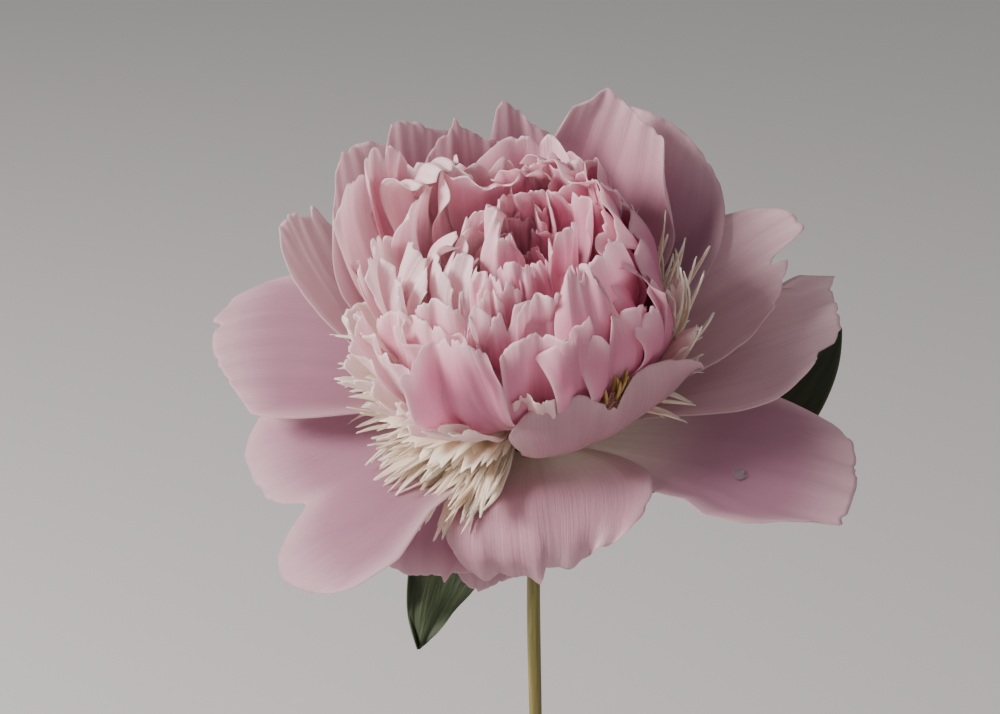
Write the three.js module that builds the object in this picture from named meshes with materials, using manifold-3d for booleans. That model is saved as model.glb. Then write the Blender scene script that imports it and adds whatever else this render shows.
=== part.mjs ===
// A peony in a bud vase: one cut double peony, nodding forwards on a single stem that stands in water in a
// small glazed vase. Millimetres, +Z up, the origin under the middle of the vase, the bloom facing -Y.
//
// Each petal and leaf is a thin blade bent along its midrib. The large outer petals are pieces of their own.
// The ball of inner petals, the fringe of narrow cream petals and the ring of stamens are fused, each colour
// in one piece, round the receptacle at the top of the stem.
import * as THREE from "three";
import { mergeVertices } from "three/addons/utils/BufferGeometryUtils.js";
import Module from "manifold-3d";

const wasm = await Module();
wasm.setup();

// ---- Driving dimensions ----

const GAP = 0.3; // clearance wherever one piece rests on another

const VASE_HEIGHT = 138;
const VASE_FOOT_RADIUS = 25;
const FOOT_ROUND = 1.2; // the foot's rounded edge
const VASE_BODY_RADIUS = 39;
const VASE_BODY_HEIGHT = 50; // where the body is widest
const NECK_RADIUS = 10.5;
const NECK_HEIGHT = 108; // where the neck is narrowest
const LIP_RADIUS = 13;
const LIP_ROUND = 1.6;
const WALL = 3.8;
const VASE_FLOOR = 6;
const VASE_SIDES = 24;
const VASE_STEPS = 11;
const WATER_LEVEL = 78;

const STEM_RADIUS = 1.8;
const STEM_SIDES = 8;
const STEM_STEPS = 20;
const STEM_FOOT = new THREE.Vector3(1.5, 8, VASE_FLOOR + GAP + 0.3);

const RECEPTACLE = new THREE.Vector3(-3, -8, 240); // the bloom's origin, where its petals leave the stem
const NOD = 22; // degrees that the bloom leans towards the front
const LEAN = 5; // degrees that it leans to the left
const SEAT_RADIUS = 8.4; // the fleshy seat that every petal grows from
const SEAT_BOTTOM = -5;
const SEAT_TOP = 14.3;
const SEAT_SIDES = 16;

const PETAL_THICKNESS = 0.7;
const LEAF_THICKNESS = 0.9;

// ---- Solids: closing, joining and cutting ----

/** A closed solid from a geometry: its vertices are merged and the flat triangles on the axis left out. */
function solidOf(geometry) {
  const bare = geometry.clone();
  bare.deleteAttribute("normal");
  bare.deleteAttribute("uv");
  const merged = mergeVertices(bare, 1e-3);
  const index = merged.index.array;
  const triVerts = [];
  for (let i = 0; i < index.length; i += 3) {
    const [a, b, c] = [index[i], index[i + 1], index[i + 2]];
    if (a !== b && b !== c && c !== a) triVerts.push(a, b, c);
  }
  return new wasm.Manifold(
    new wasm.Mesh({
      numProp: 3,
      vertProperties: new Float32Array(merged.attributes.position.array),
      triVerts: new Uint32Array(triVerts),
    }),
  );
}

function fuse(solids) {
  return solids.reduce((whole, solid) => whole.add(solid));
}

/** The largest body of a cut or fused solid, without loose scraps and with its sealed hollows filled. */
function largestBody(solid) {
  const bodies = solid.decompose();
  return bodies.reduce((best, body) => (body.volume() > best.volume() ? body : best));
}

function geometryOf(solid) {
  const mesh = solid.getMesh();
  const geometry = new THREE.BufferGeometry();
  geometry.setAttribute("position", new THREE.BufferAttribute(new Float32Array(mesh.vertProperties), 3));
  geometry.setIndex(new THREE.BufferAttribute(new Uint32Array(mesh.triVerts), 1));
  const flat = geometry.toNonIndexed();
  flat.computeVertexNormals();
  return flat;
}

function material(colour, roughness, metalness = 0) {
  return new THREE.MeshStandardMaterial({ color: colour, roughness, metalness });
}

function piece(name, solid, finish) {
  const mesh = new THREE.Mesh(geometryOf(solid), finish);
  mesh.name = name;
  return mesh;
}

/** A turned solid: a profile of [radius, height] pairs swept round the vertical axis. */
function turned(profile, sides) {
  const points = profile.map(([radius, height]) => new THREE.Vector2(radius, height));
  return new THREE.LatheGeometry(points, sides).rotateX(Math.PI / 2);
}

// ---- Blades: petals and leaves ----

/** A repeatable number from -1 to 1 for the i-th piece's k-th small difference. */
function quirk(i, k) {
  const x = Math.sin(12.9898 * i + 78.233 * k) * 43758.5453;
  return 2 * (x - Math.floor(x)) - 1;
}

/** A place in the bloom as [azimuth in degrees, radius, height]: azimuth 0 faces the front, 90 the right. */
function around([azimuth, radius, height]) {
  const angle = THREE.MathUtils.degToRad(azimuth);
  return new THREE.Vector3(radius * Math.sin(angle), -radius * Math.cos(angle), height);
}

/** The value at a place, from a table of [place, value] pairs with straight steps between them. */
function readOff(table, place) {
  const next = table.findIndex(([at]) => at >= place);
  if (next < 1) return (table[next] ?? table.at(-1))[1];
  const [[before, from], [after, to]] = [table[next - 1], table[next]];
  return from + ((place - before) / (after - before)) * (to - from);
}

/** The share of its full length that a blade reaches at u, from -1 to 1 across it. */
function tipReach(blade, u) {
  return blade.rim ? readOff(blade.rim, u) : 1 - (blade.round ?? 0.16) * Math.abs(u) ** 2.6;
}

/** Half of a blade's width at v, from 0 at its base to 1 at its tip, on its left (u < 0) or its right. */
function halfWidth(blade, u, v) {
  const foot = blade.foot ?? 0.2;
  const full = blade.full ?? 0.68;
  const tip = blade.tipWidth ?? 0.62;
  const growing = foot + (1 - foot) * Math.sin((Math.PI / 2) * Math.min(1, v / full)) ** 1.3;
  const falling = 1 - (1 - tip) * (Math.max(0, v - full) / (1 - full)) ** 2;
  const share = readOff((u < 0 ? blade.left : blade.right) ?? [[0, 1]], v);
  return (blade.width / 2) * (v < full ? growing : falling) * share;
}

/** The blade's middle surface at (u, v): cupped across the midrib, which is bent from base by way of via. */
function sheetPoint(blade, u, v) {
  const share = v * (1 + (tipReach(blade, u) - 1) * v);
  const along = Math.min(share, 1);
  const forward = blade.midrib.getTangentAt(along);
  const place = blade.midrib.getPointAt(along);
  place.addScaledVector(forward, (share - along) * blade.midrib.getLength());

  const side = blade.side.clone().addScaledVector(forward, -blade.side.dot(forward)).normalize();
  const inward = new THREE.Vector3().crossVectors(forward, side);
  const [rollBase, rollTip] = blade.roll ?? [0, 0];
  const roll = THREE.MathUtils.degToRad(rollBase + (rollTip - rollBase) * share);
  const across = side.clone().multiplyScalar(Math.cos(roll)).addScaledVector(inward, Math.sin(roll));
  const upward = inward.multiplyScalar(Math.cos(roll)).addScaledVector(side, -Math.sin(roll));

  const [cupBase, cupTip] = blade.cup ?? [30, 30];
  const cup = THREE.MathUtils.degToRad(cupBase + (cupTip - cupBase) * share) || 1e-3;
  const width = halfWidth(blade, u, v);
  let lift = (width * (1 - Math.cos(cup * u))) / cup;
  for (const [height, count, phase] of blade.waves ?? []) {
    const wave = Math.sin(2 * Math.PI * (count * v + phase) + (u > 0 ? 1.7 : 0));
    lift += height * Math.abs(u) ** 2.2 * v ** 1.5 * wave;
  }
  return place.addScaledVector(across, (width * Math.sin(cup * u)) / cup).addScaledVector(upward, lift);
}

/** Rows of points over a blade, from share `from` of its length to its tip. One with a rim of its own has its
 * columns at the places in the rim's table. */
function sheetOf(blade, columns, rows, from = 0) {
  const across = blade.rim?.map(([u]) => u) ?? Array.from({ length: columns + 1 }, (_, j) => (2 * j) / columns - 1);
  return Array.from({ length: rows + 1 }, (_, i) =>
    across.map((u) => sheetPoint(blade, u, from + ((1 - from) * i) / rows)),
  );
}

/** A closed blade round a sheet. A margin makes it thicker and wider on every side, to cut its neighbours. */
function bladeOf(sheet, thickness, margin = 0) {
  const rows = sheet.length - 1;
  const columns = sheet[0].length - 1;
  const at = (i, j) => sheet[Math.min(Math.max(i, 0), rows)][Math.min(Math.max(j, 0), columns)];
  const layer = (rows + 1) * (columns + 1);
  const vertex = (i, j) => i * (columns + 1) + j;
  const positions = new Float32Array(layer * 6);

  for (let i = 0; i <= rows; i++) {
    for (let j = 0; j <= columns; j++) {
      const over = at(i, j + 1).clone().sub(at(i, j - 1));
      const up = at(i + 1, j).clone().sub(at(i - 1, j));
      const normal = over.clone().cross(up).normalize();
      const rim = new THREE.Vector3();
      if (j === 0 || j === columns) rim.addScaledVector(over.normalize(), j === 0 ? -1 : 1);
      if (i === 0 || i === rows) rim.addScaledVector(up.normalize(), i === 0 ? -1 : 1);
      for (const [face, offset] of [thickness / 2 + margin, -thickness / 2 - margin].entries()) {
        const point = at(i, j).clone().addScaledVector(normal, offset).addScaledVector(rim, margin);
        point.toArray(positions, 3 * (face * layer + vertex(i, j)));
      }
    }
  }

  const triangles = [];
  const bothFaces = (a, b, c) => triangles.push(a, b, c, layer + a, layer + c, layer + b);
  for (let i = 0; i < rows; i++) {
    for (let j = 0; j < columns; j++) {
      const [a, b, c, d] = [vertex(i, j), vertex(i, j + 1), vertex(i + 1, j + 1), vertex(i + 1, j)];
      if (at(i, j).distanceTo(at(i + 1, j + 1)) < at(i, j + 1).distanceTo(at(i + 1, j))) {
        bothFaces(a, b, c);
        bothFaces(a, c, d);
      } else {
        bothFaces(a, b, d);
        bothFaces(b, c, d);
      }
    }
  }
  const edge = [];
  for (let j = 0; j < columns; j++) edge.push(vertex(0, j));
  for (let i = 0; i < rows; i++) edge.push(vertex(i, columns));
  for (let j = columns; j > 0; j--) edge.push(vertex(rows, j));
  for (let i = rows; i > 0; i--) edge.push(vertex(i, 0));
  edge.forEach((from, n) => {
    const to = edge[(n + 1) % edge.length];
    triangles.push(to, from, layer + from, to, layer + from, layer + to);
  });
  return new wasm.Manifold(
    new wasm.Mesh({ numProp: 3, vertProperties: positions, triVerts: new Uint32Array(triangles) }),
  );
}

/** A petal gets its midrib, and the level direction across it, from its three places in the bloom. */
function petal(shape) {
  const turn = THREE.MathUtils.degToRad((shape.base[0] + shape.tip[0]) / 2 + (shape.face ?? 0));
  return {
    ...shape,
    midrib: new THREE.QuadraticBezierCurve3(around(shape.base), around(shape.via), around(shape.tip)),
    side: new THREE.Vector3(Math.cos(turn), Math.sin(turn), 0),
  };
}

/** Both forms of a blade: the blade itself, and the wider one that cuts whatever would cross it. */
function bladePair(blade, columns, rows, from = 0) {
  const sheet = sheetOf(blade, columns, rows, from);
  return { blade: bladeOf(sheet, PETAL_THICKNESS), cutter: bladeOf(sheet, PETAL_THICKNESS, GAP) };
}

// ---- Vase ----

/** Heights and radii up the outside of the vase, as a smooth curve through its foot, body, neck and lip. */
function vaseOutline(steps) {
  const curve = new THREE.SplineCurve([
    new THREE.Vector2(VASE_FOOT_RADIUS, FOOT_ROUND),
    new THREE.Vector2(VASE_BODY_RADIUS * 0.93, VASE_BODY_HEIGHT * 0.48),
    new THREE.Vector2(VASE_BODY_RADIUS, VASE_BODY_HEIGHT),
    new THREE.Vector2(VASE_BODY_RADIUS * 0.74, VASE_BODY_HEIGHT * 1.6),
    new THREE.Vector2(NECK_RADIUS * 1.3, NECK_HEIGHT * 0.86),
    new THREE.Vector2(NECK_RADIUS, NECK_HEIGHT),
    new THREE.Vector2(LIP_RADIUS, VASE_HEIGHT - LIP_ROUND),
  ]);
  return curve.getSpacedPoints(steps);
}

/** The inside of the vase from its mouth down to the floor, one wall thickness inside its outline. */
function vaseHollow(outline, clearance) {
  const inside = [];
  for (let i = outline.length - 1; i > 0; i -= 2) {
    const slope = outline[Math.min(i + 1, outline.length - 1)].clone().sub(outline[i - 1]).normalize();
    const radius = outline[i].x - (WALL + clearance) * slope.y;
    const height = outline[i].y + (WALL + clearance) * slope.x;
    if (height > VASE_FLOOR + 4) inside.push([radius, height]);
  }
  const [lowest] = inside.slice(-1);
  inside.push([lowest[0] - 3.5, VASE_FLOOR + clearance]);
  inside.push([0, VASE_FLOOR + clearance]);
  return inside;
}

const outline = vaseOutline(VASE_STEPS);
const mouth = outline.at(-1);
const vaseProfile = [
  [0, 0],
  [VASE_FOOT_RADIUS - FOOT_ROUND, 0],
  ...outline.map((point) => [point.x, point.y]),
  [mouth.x - LIP_ROUND * 0.4, VASE_HEIGHT],
  [mouth.x - WALL + LIP_ROUND * 0.6, VASE_HEIGHT],
  ...vaseHollow(outline, 0),
];
const vase = solidOf(turned(vaseProfile, VASE_SIDES));

// ---- Stem, with the seat of the bloom and its sepals. It leans on the front of the vase's neck ----

const bloom = new THREE.Group();
bloom.position.copy(RECEPTACLE);
bloom.rotation.set(THREE.MathUtils.degToRad(NOD), THREE.MathUtils.degToRad(-LEAN), 0, "YXZ");
bloom.updateMatrix();
const bloomAxis = new THREE.Vector3(0, 0, 1).transformDirection(bloom.matrix);

const stemTop = RECEPTACLE.clone().addScaledVector(bloomAxis, SEAT_BOTTOM - 2);
const stemPath = new THREE.CatmullRomCurve3([
  STEM_FOOT,
  new THREE.Vector3(0.8, 2, NECK_HEIGHT / 2),
  new THREE.Vector3(0, STEM_RADIUS + GAP + WALL - NECK_RADIUS, NECK_HEIGHT),
  new THREE.Vector3(-1.8, -6.2, (VASE_HEIGHT + stemTop.z) / 2),
  stemTop.clone().addScaledVector(bloomAxis, -9),
  stemTop,
]);

/** A rod of so many sides along a path. */
function rodOf(path, radius, sides, steps) {
  const ring = new THREE.Path().absarc(0, 0, radius, 0, 2 * Math.PI);
  const section = new THREE.Shape(ring.getSpacedPoints(sides).slice(0, sides));
  return solidOf(new THREE.ExtrudeGeometry(section, { steps, extrudePath: path }));
}

/** The seat of the bloom, or the wider one that cuts the petals' roots to length. */
function seatOf(margin) {
  const profile = [
    [0, SEAT_BOTTOM - 6 - margin],
    [STEM_RADIUS + 1 + margin, SEAT_BOTTOM - 5],
    [SEAT_RADIUS * 0.72 + margin, SEAT_BOTTOM - 2.5],
    [SEAT_RADIUS + margin, SEAT_BOTTOM + 1],
    [SEAT_RADIUS + margin, SEAT_TOP + margin],
    [0, SEAT_TOP + margin],
  ];
  return turned(profile, SEAT_SIDES);
}

const SEPALS = [
  { base: [-80, 5, -7], via: [-80, 19, -14], tip: [-76, 26, -21], width: 19, tipWidth: 0.5, cup: [30, -25] },
  { base: [-8, 5, -7], via: [-10, 15, -17], tip: [-12, 16, -30], width: 17, tipWidth: 0.4, cup: [30, -25] },
  { base: [62, 5, -7], via: [62, 18, -14], tip: [66, 25, -20], width: 20, tipWidth: 0.5, cup: [30, -25] },
  { base: [134, 5, -7], via: [134, 21, -11], tip: [134, 31, -13], width: 15, tipWidth: 0.2, cup: [30, 0] },
  { base: [206, 5, -7], via: [206, 20, -12], tip: [208, 29, -16], width: 18, tipWidth: 0.4, cup: [30, -20] },
];
const seatSolid = solidOf(seatOf(0));
const seatCutter = solidOf(seatOf(GAP));
const sepals = SEPALS.map((shape) => bladeOf(sheetOf(petal({ foot: 0.5, ...shape }), 4, 3), LEAF_THICKNESS));
const calyx = geometryOf(fuse([seatSolid, ...sepals])).applyMatrix4(bloom.matrix);
const stem = largestBody(rodOf(stemPath, STEM_RADIUS, STEM_SIDES, STEM_STEPS).add(solidOf(calyx)));

// ---- Water, with a plain hole for the stem ----

const hollow = vaseHollow(outline, GAP);
const below = hollow.findIndex(([, height]) => height < WATER_LEVEL);
const [upper, lower] = [hollow[below - 1], hollow[below]];
const share = (WATER_LEVEL - lower[1]) / (upper[1] - lower[1]);
const surfaceRadius = lower[0] + share * (upper[0] - lower[0]);
const waterProfile = [[0, WATER_LEVEL], [surfaceRadius, WATER_LEVEL], ...hollow.slice(below)].reverse();
const holeRadius = STEM_RADIUS + GAP * 1.2;
const underFoot = new THREE.LineCurve3(stemPath.getPoint(0.01), STEM_FOOT.clone().setZ(VASE_FLOOR - 1));
const water = solidOf(turned(waterProfile, VASE_SIDES))
  .subtract(rodOf(stemPath, holeRadius, STEM_SIDES, STEM_STEPS))
  .subtract(rodOf(underFoot, holeRadius, STEM_SIDES, 1));

// ---- Leaves on the stem ----

/** A leaf's blade and its stalk, which starts beside the stem's surface at share `at` of the stem's length. */
function leaf({ at, via, neck, tip, side, ...shape }) {
  const root = stemPath.getPointAt(at);
  const outward = neck.clone().sub(root).setZ(0).normalize();
  root.addScaledVector(outward, STEM_RADIUS + 2 * GAP);
  const stalkPath = new THREE.QuadraticBezierCurve3(root, via, neck);
  const stalk = rodOf(stalkPath, 0.8, 5, 5);
  const start = stalkPath.getPointAt(0.8);
  const middle = neck.clone().addScaledVector(neck.clone().sub(start).normalize(), neck.distanceTo(tip) * 0.5);
  const midrib = new THREE.QuadraticBezierCurve3(start, middle, tip);
  const sheet = sheetOf({ midrib, side, foot: 0.12, tipWidth: 0.06, round: 0, ...shape }, 6, 7);
  return largestBody(stalk.add(bladeOf(sheet, LEAF_THICKNESS)));
}

// A drooping leaf shows below the bloom on the left, and a larger one reaches out behind it on the right.
const leftLeaf = leaf({
  at: 0.87,
  via: new THREE.Vector3(-8, -5, 207),
  neck: new THREE.Vector3(-12, -2, 208),
  tip: new THREE.Vector3(-35, -5, 171),
  side: new THREE.Vector3(0.86, 0, -0.5),
  width: 27,
  full: 0.42,
  cup: [30, 16],
  waves: [[1.6, 2.2, 0.1]],
  left: [[0, 1], [0.4, 0.6], [1, 0.6]],
});
const rightLeaf = leaf({
  at: 0.85,
  via: new THREE.Vector3(14, 2, 207),
  neck: new THREE.Vector3(26, 8, 216),
  tip: new THREE.Vector3(87, 34, 257),
  side: new THREE.Vector3(0, 0.8, 0.6),
  width: 52,
  full: 0.6,
  cup: [34, 18],
  waves: [[1.8, 2.4, 0.4]],
});

// ---- Outer petals ----

// Each petal is bent from its base by way of `via` to its tip, all [azimuth, radius, height] in the bloom, and
// `width` is its greatest. `rim` is how far it reaches at places across it, -1 on its left and 1 on its right, and
// `left` and `right` make it narrower or wider along that side. Where two petals would cross, the one that comes
// first here keeps its whole shape.
const GUARD_PETALS = [
  // front and right, below the ball
  { base: [34, 8, 5], via: [36, 42, 13], tip: [42, 38, 43], width: 70, cup: [40, 34], roll: [0, -14], full: 0.66,
    tipWidth: 0.86,
    rim: [[-1, 0.72], [-0.8, 0.9], [-0.45, 0.96], [-0.2, 0.9], [-0.06, 0.81], [0.08, 0.92], [0.35, 0.98], [0.7, 0.91],
      [1, 0.74]],
    left: [[0.3, 0.7], [0.6, 0.72], [0.8, 0.86], [1, 0.97]] },
  { base: [3, 8, -0.5], via: [3, 52, 16], tip: [2, 50, -9], width: 60, cup: [20, -20], full: 0.75, tipWidth: 0.8,
    rim: [[-1, 0.82], [-0.85, 0.96], [-0.45, 1.01], [-0.06, 1.035], [0, 0.9], [0.4, 0.925], [0.58, 0.81], [1, 0.71]],
    left: [[0.2, 1.3], [0.5, 0.94], [0.7, 0.86], [0.9, 0.88], [1, 0.97]],
    right: [[0.2, 1.5], [0.4, 1.3], [0.6, 1.07], [0.8, 0.94], [1, 1]] },
  { base: [74, 8, -3], via: [66, 50, 8], tip: [70, 92, -2], width: 54, cup: [20, 0], foot: 0.3, full: 0.55,
    tipWidth: 0.86,
    rim: [[-1, 0.75], [-0.75, 0.89], [-0.6, 0.985], [-0.2, 1], [0.3, 0.995], [0.7, 0.955], [1, 0.88]],
    left: [[0.4, 0.7], [0.6, 0.75], [0.7, 0.95], [0.9, 1.02], [1, 1]] },
  { base: [98, 8, -0.5], via: [98, 50, 20], tip: [103, 93, 15], width: 54, cup: [30, 16], full: 0.74, tipWidth: 0.78,
    rim: [[-1, 0.79], [-0.62, 0.84], [-0.48, 0.91], [0, 0.975], [0.5, 1.01], [0.86, 1.05], [1, 0.93]],
    left: [[0.4, 1.1], [0.6, 1.15], [0.75, 1.12], [0.9, 1.02], [1, 1]],
    right: [[0.5, 1], [0.7, 0.75], [0.88, 0.6], [1, 0.84]] },
  { base: [114, 8, 2], via: [110, 48, 22], tip: [111, 86, 33], width: 56, cup: [30, 16], roll: [0, 12], full: 0.7,
    tipWidth: 0.74,
    rim: [[-1, 0.71], [-0.6, 0.83], [-0.02, 0.93], [0.03, 0.875], [0.13, 0.89], [0.22, 1.04], [0.6, 1.02], [1, 0.86]],
    left: [[0.4, 0.8], [0.6, 0.75], [0.8, 0.74], [1, 0.85]], right: [[0.5, 0.75], [0.75, 0.75], [0.9, 0.9], [1, 0.95]] },
  // left
  { base: [-62, 8, -0.5], via: [-66, 48, 18], tip: [-67, 76, 3], width: 72, cup: [20, 0], full: 0.78, tipWidth: 0.94,
    rim: [[-1, 0.86], [-0.8, 0.98], [-0.3, 1.01], [0.03, 0.87], [0.3, 1.05], [0.6, 1.09], [1, 0.955]],
    left: [[0.5, 0.74], [0.8, 0.77], [0.9, 0.94], [1, 1]], right: [[0.5, 0.87], [0.7, 1.07], [0.9, 1.07], [1, 1]] },
  { base: [-108, 8, 2], via: [-116, 48, 26], tip: [-104, 90, 17], width: 62, cup: [24, 10], full: 0.8, tipWidth: 0.9,
    rim: [[-1, 0.87], [-0.8, 0.98], [-0.54, 1.01], [-0.48, 0.975], [-0.2, 1.01], [0.3, 0.955], [1, 0.83]] },
  { base: [-118, 8, 4.5], via: [-110, 52, 20], tip: [-126, 74, 51], width: 46, cup: [30, 24], roll: [10, 0],
    full: 0.72, tipWidth: 0.7,
    rim: [[-1, 0.74], [-0.6, 0.9], [-0.34, 1], [-0.26, 0.955], [0.3, 0.99], [0.8, 0.93], [1, 0.83]],
    right: [[0.3, 0.9], [0.6, 0.6], [0.8, 0.65], [0.9, 0.74], [1, 0.9]] },
  // back, standing behind the ball
  { base: [-138, 8, 4.5], via: [-134, 55, 23], tip: [-139, 65, 66], width: 46, cup: [30, 36], full: 0.76, tipWidth: 0.8,
    rim: [[-1, 0.87], [-0.5, 0.98], [0, 1.005], [0.5, 0.95], [1, 0.8]], right: [[0.7, 1], [0.9, 0.9], [1, 0.84]] },
  { base: [158, 8, 4.5], via: [156, 55, 23], tip: [148, 69, 67], width: 42, cup: [30, 24], full: 0.78, tipWidth: 0.85,
    rim: [[-1, 0.81], [-0.85, 0.9], [-0.3, 0.95], [0.2, 0.98], [0.5, 1.01], [0.75, 0.945], [1, 0.82]],
    left: [[0.4, 1.1], [0.6, 1.3], [0.75, 1.25], [0.9, 1.05], [1, 1]] },
  { base: [142, 8, 2], via: [144, 62, 32], tip: [146, 80, 57], width: 56, cup: [30, -30], full: 0.7, tipWidth: 0.75,
    rim: [[-1, 0.83], [-0.6, 0.915], [0, 0.985], [0.5, 0.99], [1, 0.88]] },
  { base: [176, 8, 6], via: [174, 54, 24], tip: [175, 55, 69], width: 46, cup: [30, 24], full: 0.66, tipWidth: 0.7,
    rim: [[-1, 0.84], [-0.4, 0.94], [0, 1], [0.45, 1.055], [1, 0.86]],
    left: [[0.6, 1], [0.9, 0.85], [1, 0.8]], right: [[0.6, 1], [0.85, 0.68], [1, 0.68]] },
  { base: [-166, 8, 7.5], via: [-166, 50, 26], tip: [-168, 52, 75], width: 34, cup: [30, 40], full: 0.7, tipWidth: 0.8,
    rim: [[-1, 0.84], [-0.1, 0.915], [0.2, 0.985], [0.3, 0.94], [1, 0.86]] },
  { base: [-152, 8, 6], via: [-154, 54, 25], tip: [-158, 60, 70], width: 34, cup: [30, 36], full: 0.74, tipWidth: 0.92,
    rim: [[-1, 0.88], [0, 0.965], [0.3, 1.01], [0.7, 1.01], [1, 0.87]] },
  // lowest, hanging in front of the stem and spread behind it
  { base: [-38, 8, -3], via: [-36, 40, 2], tip: [-34, 52, -15], width: 42, cup: [20, 10], full: 0.7, tipWidth: 0.7,
    rim: [[-1, 0.96], [-0.4, 0.97], [0.1, 0.92], [0.24, 0.95], [0.36, 0.88], [1, 0.78]] },
  { base: [-14, 8, -3], via: [-16, 36, 0], tip: [-19, 45, -18], width: 30, cup: [20, 10], full: 0.6, tipWidth: 0.5,
    rim: [[-1, 0.95], [-0.35, 1.04], [0.4, 0.93], [1, 0.86]] },
  { base: [180, 8, -0.5], via: [180, 44, 14], tip: [180, 76, 24], width: 56, cup: [30, 10], full: 0.7, tipWidth: 0.8 },
  { base: [-148, 8, -3], via: [-148, 44, 8], tip: [-148, 78, 18], width: 56, cup: [30, 10], full: 0.7, tipWidth: 0.8 },
  { base: [146, 8, -3], via: [146, 44, 8], tip: [146, 78, 18], width: 56, cup: [30, 10], full: 0.7, tipWidth: 0.8 },
];

const PETAL_ROWS = 6;
const PLAIN_COLUMNS = 4; // strips across a petal without a rim of its own
const seat = solidOf(seatOf(GAP));
const guardCutters = [];
const guards = GUARD_PETALS.map((shape) => {
  const { blade, cutter } = bladePair(petal(shape), PLAIN_COLUMNS, PETAL_ROWS);
  const guard = largestBody([seat, ...guardCutters].reduce((left, other) => left.subtract(other), blade));
  guardCutters.push(cutter);
  return guard;
});

// ---- Ball of inner petals ----

// Layers from the outside in, with the [radius, height] where their petals leave the heart and of the place that
// they bulge through. Each petal is the azimuth, radius and height of its tip, its width, and how many degrees
// its tip leans round from its foot.
const INNER_LAYERS = [
  // small loose ones low on the left and in front
  { base: [11, 17], via: [42, 22], petals: [
    [-94, 41, 46, 19, -8], [-72, 44, 42, 20, -8], [-50, 43, 43, 19, -12], [-34, 41, 46, 16, -10],
  ] },
  // those that wrap round the ball, from its left round its front to its back
  { base: [12, 19], via: [50, 30], petals: [
    [-72, 41, 56, 26, -8], [-53, 35, 62, 30, -8], [-41, 32, 65, 28, -12], [-22, 31, 66, 24, -24], [13, 31, 63, 26, 4],
    [32, 32, 63, 27, -4], [49, 35, 61, 25, 6], [72, 39, 59, 29, 0], [90, 36, 65, 31, 0], [110, 37, 67, 35, 0],
    [136, 40, 66, 33, 0], [164, 41, 64, 35, 0], [-166, 41, 64, 35, 0], [-140, 42, 68, 31, 0],
  ] },
  // three that stand tall out of the ball at its left
  { base: [12, 20], via: [50, 38], petals: [
    [-120, 45, 77, 26, 0], [-127, 40, 84, 13, 0], [-138, 33, 84, 22, 0],
  ] },
  // its shoulder
  { base: [12, 23], via: [43, 43], petals: [
    [-120, 28, 77, 19, 0], [-94, 33, 68, 20, -6], [-81, 24, 71, 19, 0], [-68, 30, 67, 19, -8], [-35, 26, 69, 24, -6],
    [6, 25, 68, 24, -4], [58, 24, 72, 27, -4], [87, 28, 68, 28, 0], [101, 27, 73, 28, 0], [117, 26, 77, 28, 0],
    [140, 25, 83, 28, 0], [170, 31, 76, 30, 0], [-160, 29, 78, 30, 0],
  ] },
  // the rim of the bowl that it opens in
  { base: [11, 27], via: [31, 50], petals: [
    [-98, 19, 73, 14, 0], [-55, 14, 72, 16, 0], [-14, 17, 71, 14, 0], [-143, 24, 79, 18, 0], [-168, 19, 82, 24, 0],
    [166, 20, 82, 17, 0],
  ] },
  // the small ones inside, two of which stand in front of them
  { base: [7, 32], via: [15, 51], petals: [
    [120, 18, 75, 20, 0], [72, 14, 76, 14, 0], [-116, 5, 79, 14, 0], [-178, 16, 73, 20, 0],
  ] },
];
const FRONT_DRAWN_IN = 0.16; // share by which the ball is slimmer at the front
const INNER_FORM = { round: 0.2, foot: 0.3, full: 0.72, tipWidth: 0.88, cup: [40, 34] };
const INNER_START = 0.1; // share of its length at which each petal starts, inside the heart
const INNER_ROWS = 3;
const NARROW_INNER = 22; // an inner petal narrower than this is made of two strips, the others of three

function innerPetals() {
  return INNER_LAYERS.flatMap(({ base, via, petals }) =>
    petals.map(([azimuth, radius, height, width, turn]) => {
      const drawn = 1 - FRONT_DRAWN_IN * Math.max(0, Math.cos(THREE.MathUtils.degToRad(azimuth)));
      return petal({
        ...INNER_FORM,
        base: [azimuth - turn, ...base],
        via: [azimuth - turn / 2, via[0] * drawn, via[1]],
        tip: [azimuth, radius, height],
        width,
      });
    }),
  );
}

/** The middle of the ball, which the inner petals stand out of. It rests on the seat. */
function heartOf(margin) {
  const profile = [
    [0, SEAT_TOP + GAP - margin],
    [12.5 + margin, SEAT_TOP + GAP - margin],
    [18 + margin, 22],
    [24 + margin, 34],
    [24 + margin, 42],
    [17 + margin, 48],
    [8 + margin, 51 + margin],
    [0, 51.5 + margin],
  ];
  return turned(profile, 16);
}

const innerPairs = innerPetals().map((blade) =>
  bladePair(blade, blade.width < NARROW_INNER ? 2 : 3, INNER_ROWS, INNER_START),
);
const allGuardCutters = fuse(guardCutters);
const inner = largestBody(
  fuse([solidOf(heartOf(0)), ...innerPairs.map(({ blade }) => blade)]).subtract(allGuardCutters),
);
const innerCutter = fuse([solidOf(heartOf(GAP)), ...innerPairs.map(({ cutter }) => cutter)]);

// ---- Fringe and stamens, each on a collar round the seat ----

function collarOf(bottom, top, radius, margin) {
  const hole = SEAT_RADIUS + GAP;
  const profile = [
    [hole, bottom - margin],
    [radius + margin, bottom - margin],
    [radius + margin, top + margin],
    [hole, top + margin],
    [hole, bottom - margin],
  ];
  return solidOf(turned(profile, SEAT_SIDES));
}

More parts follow.
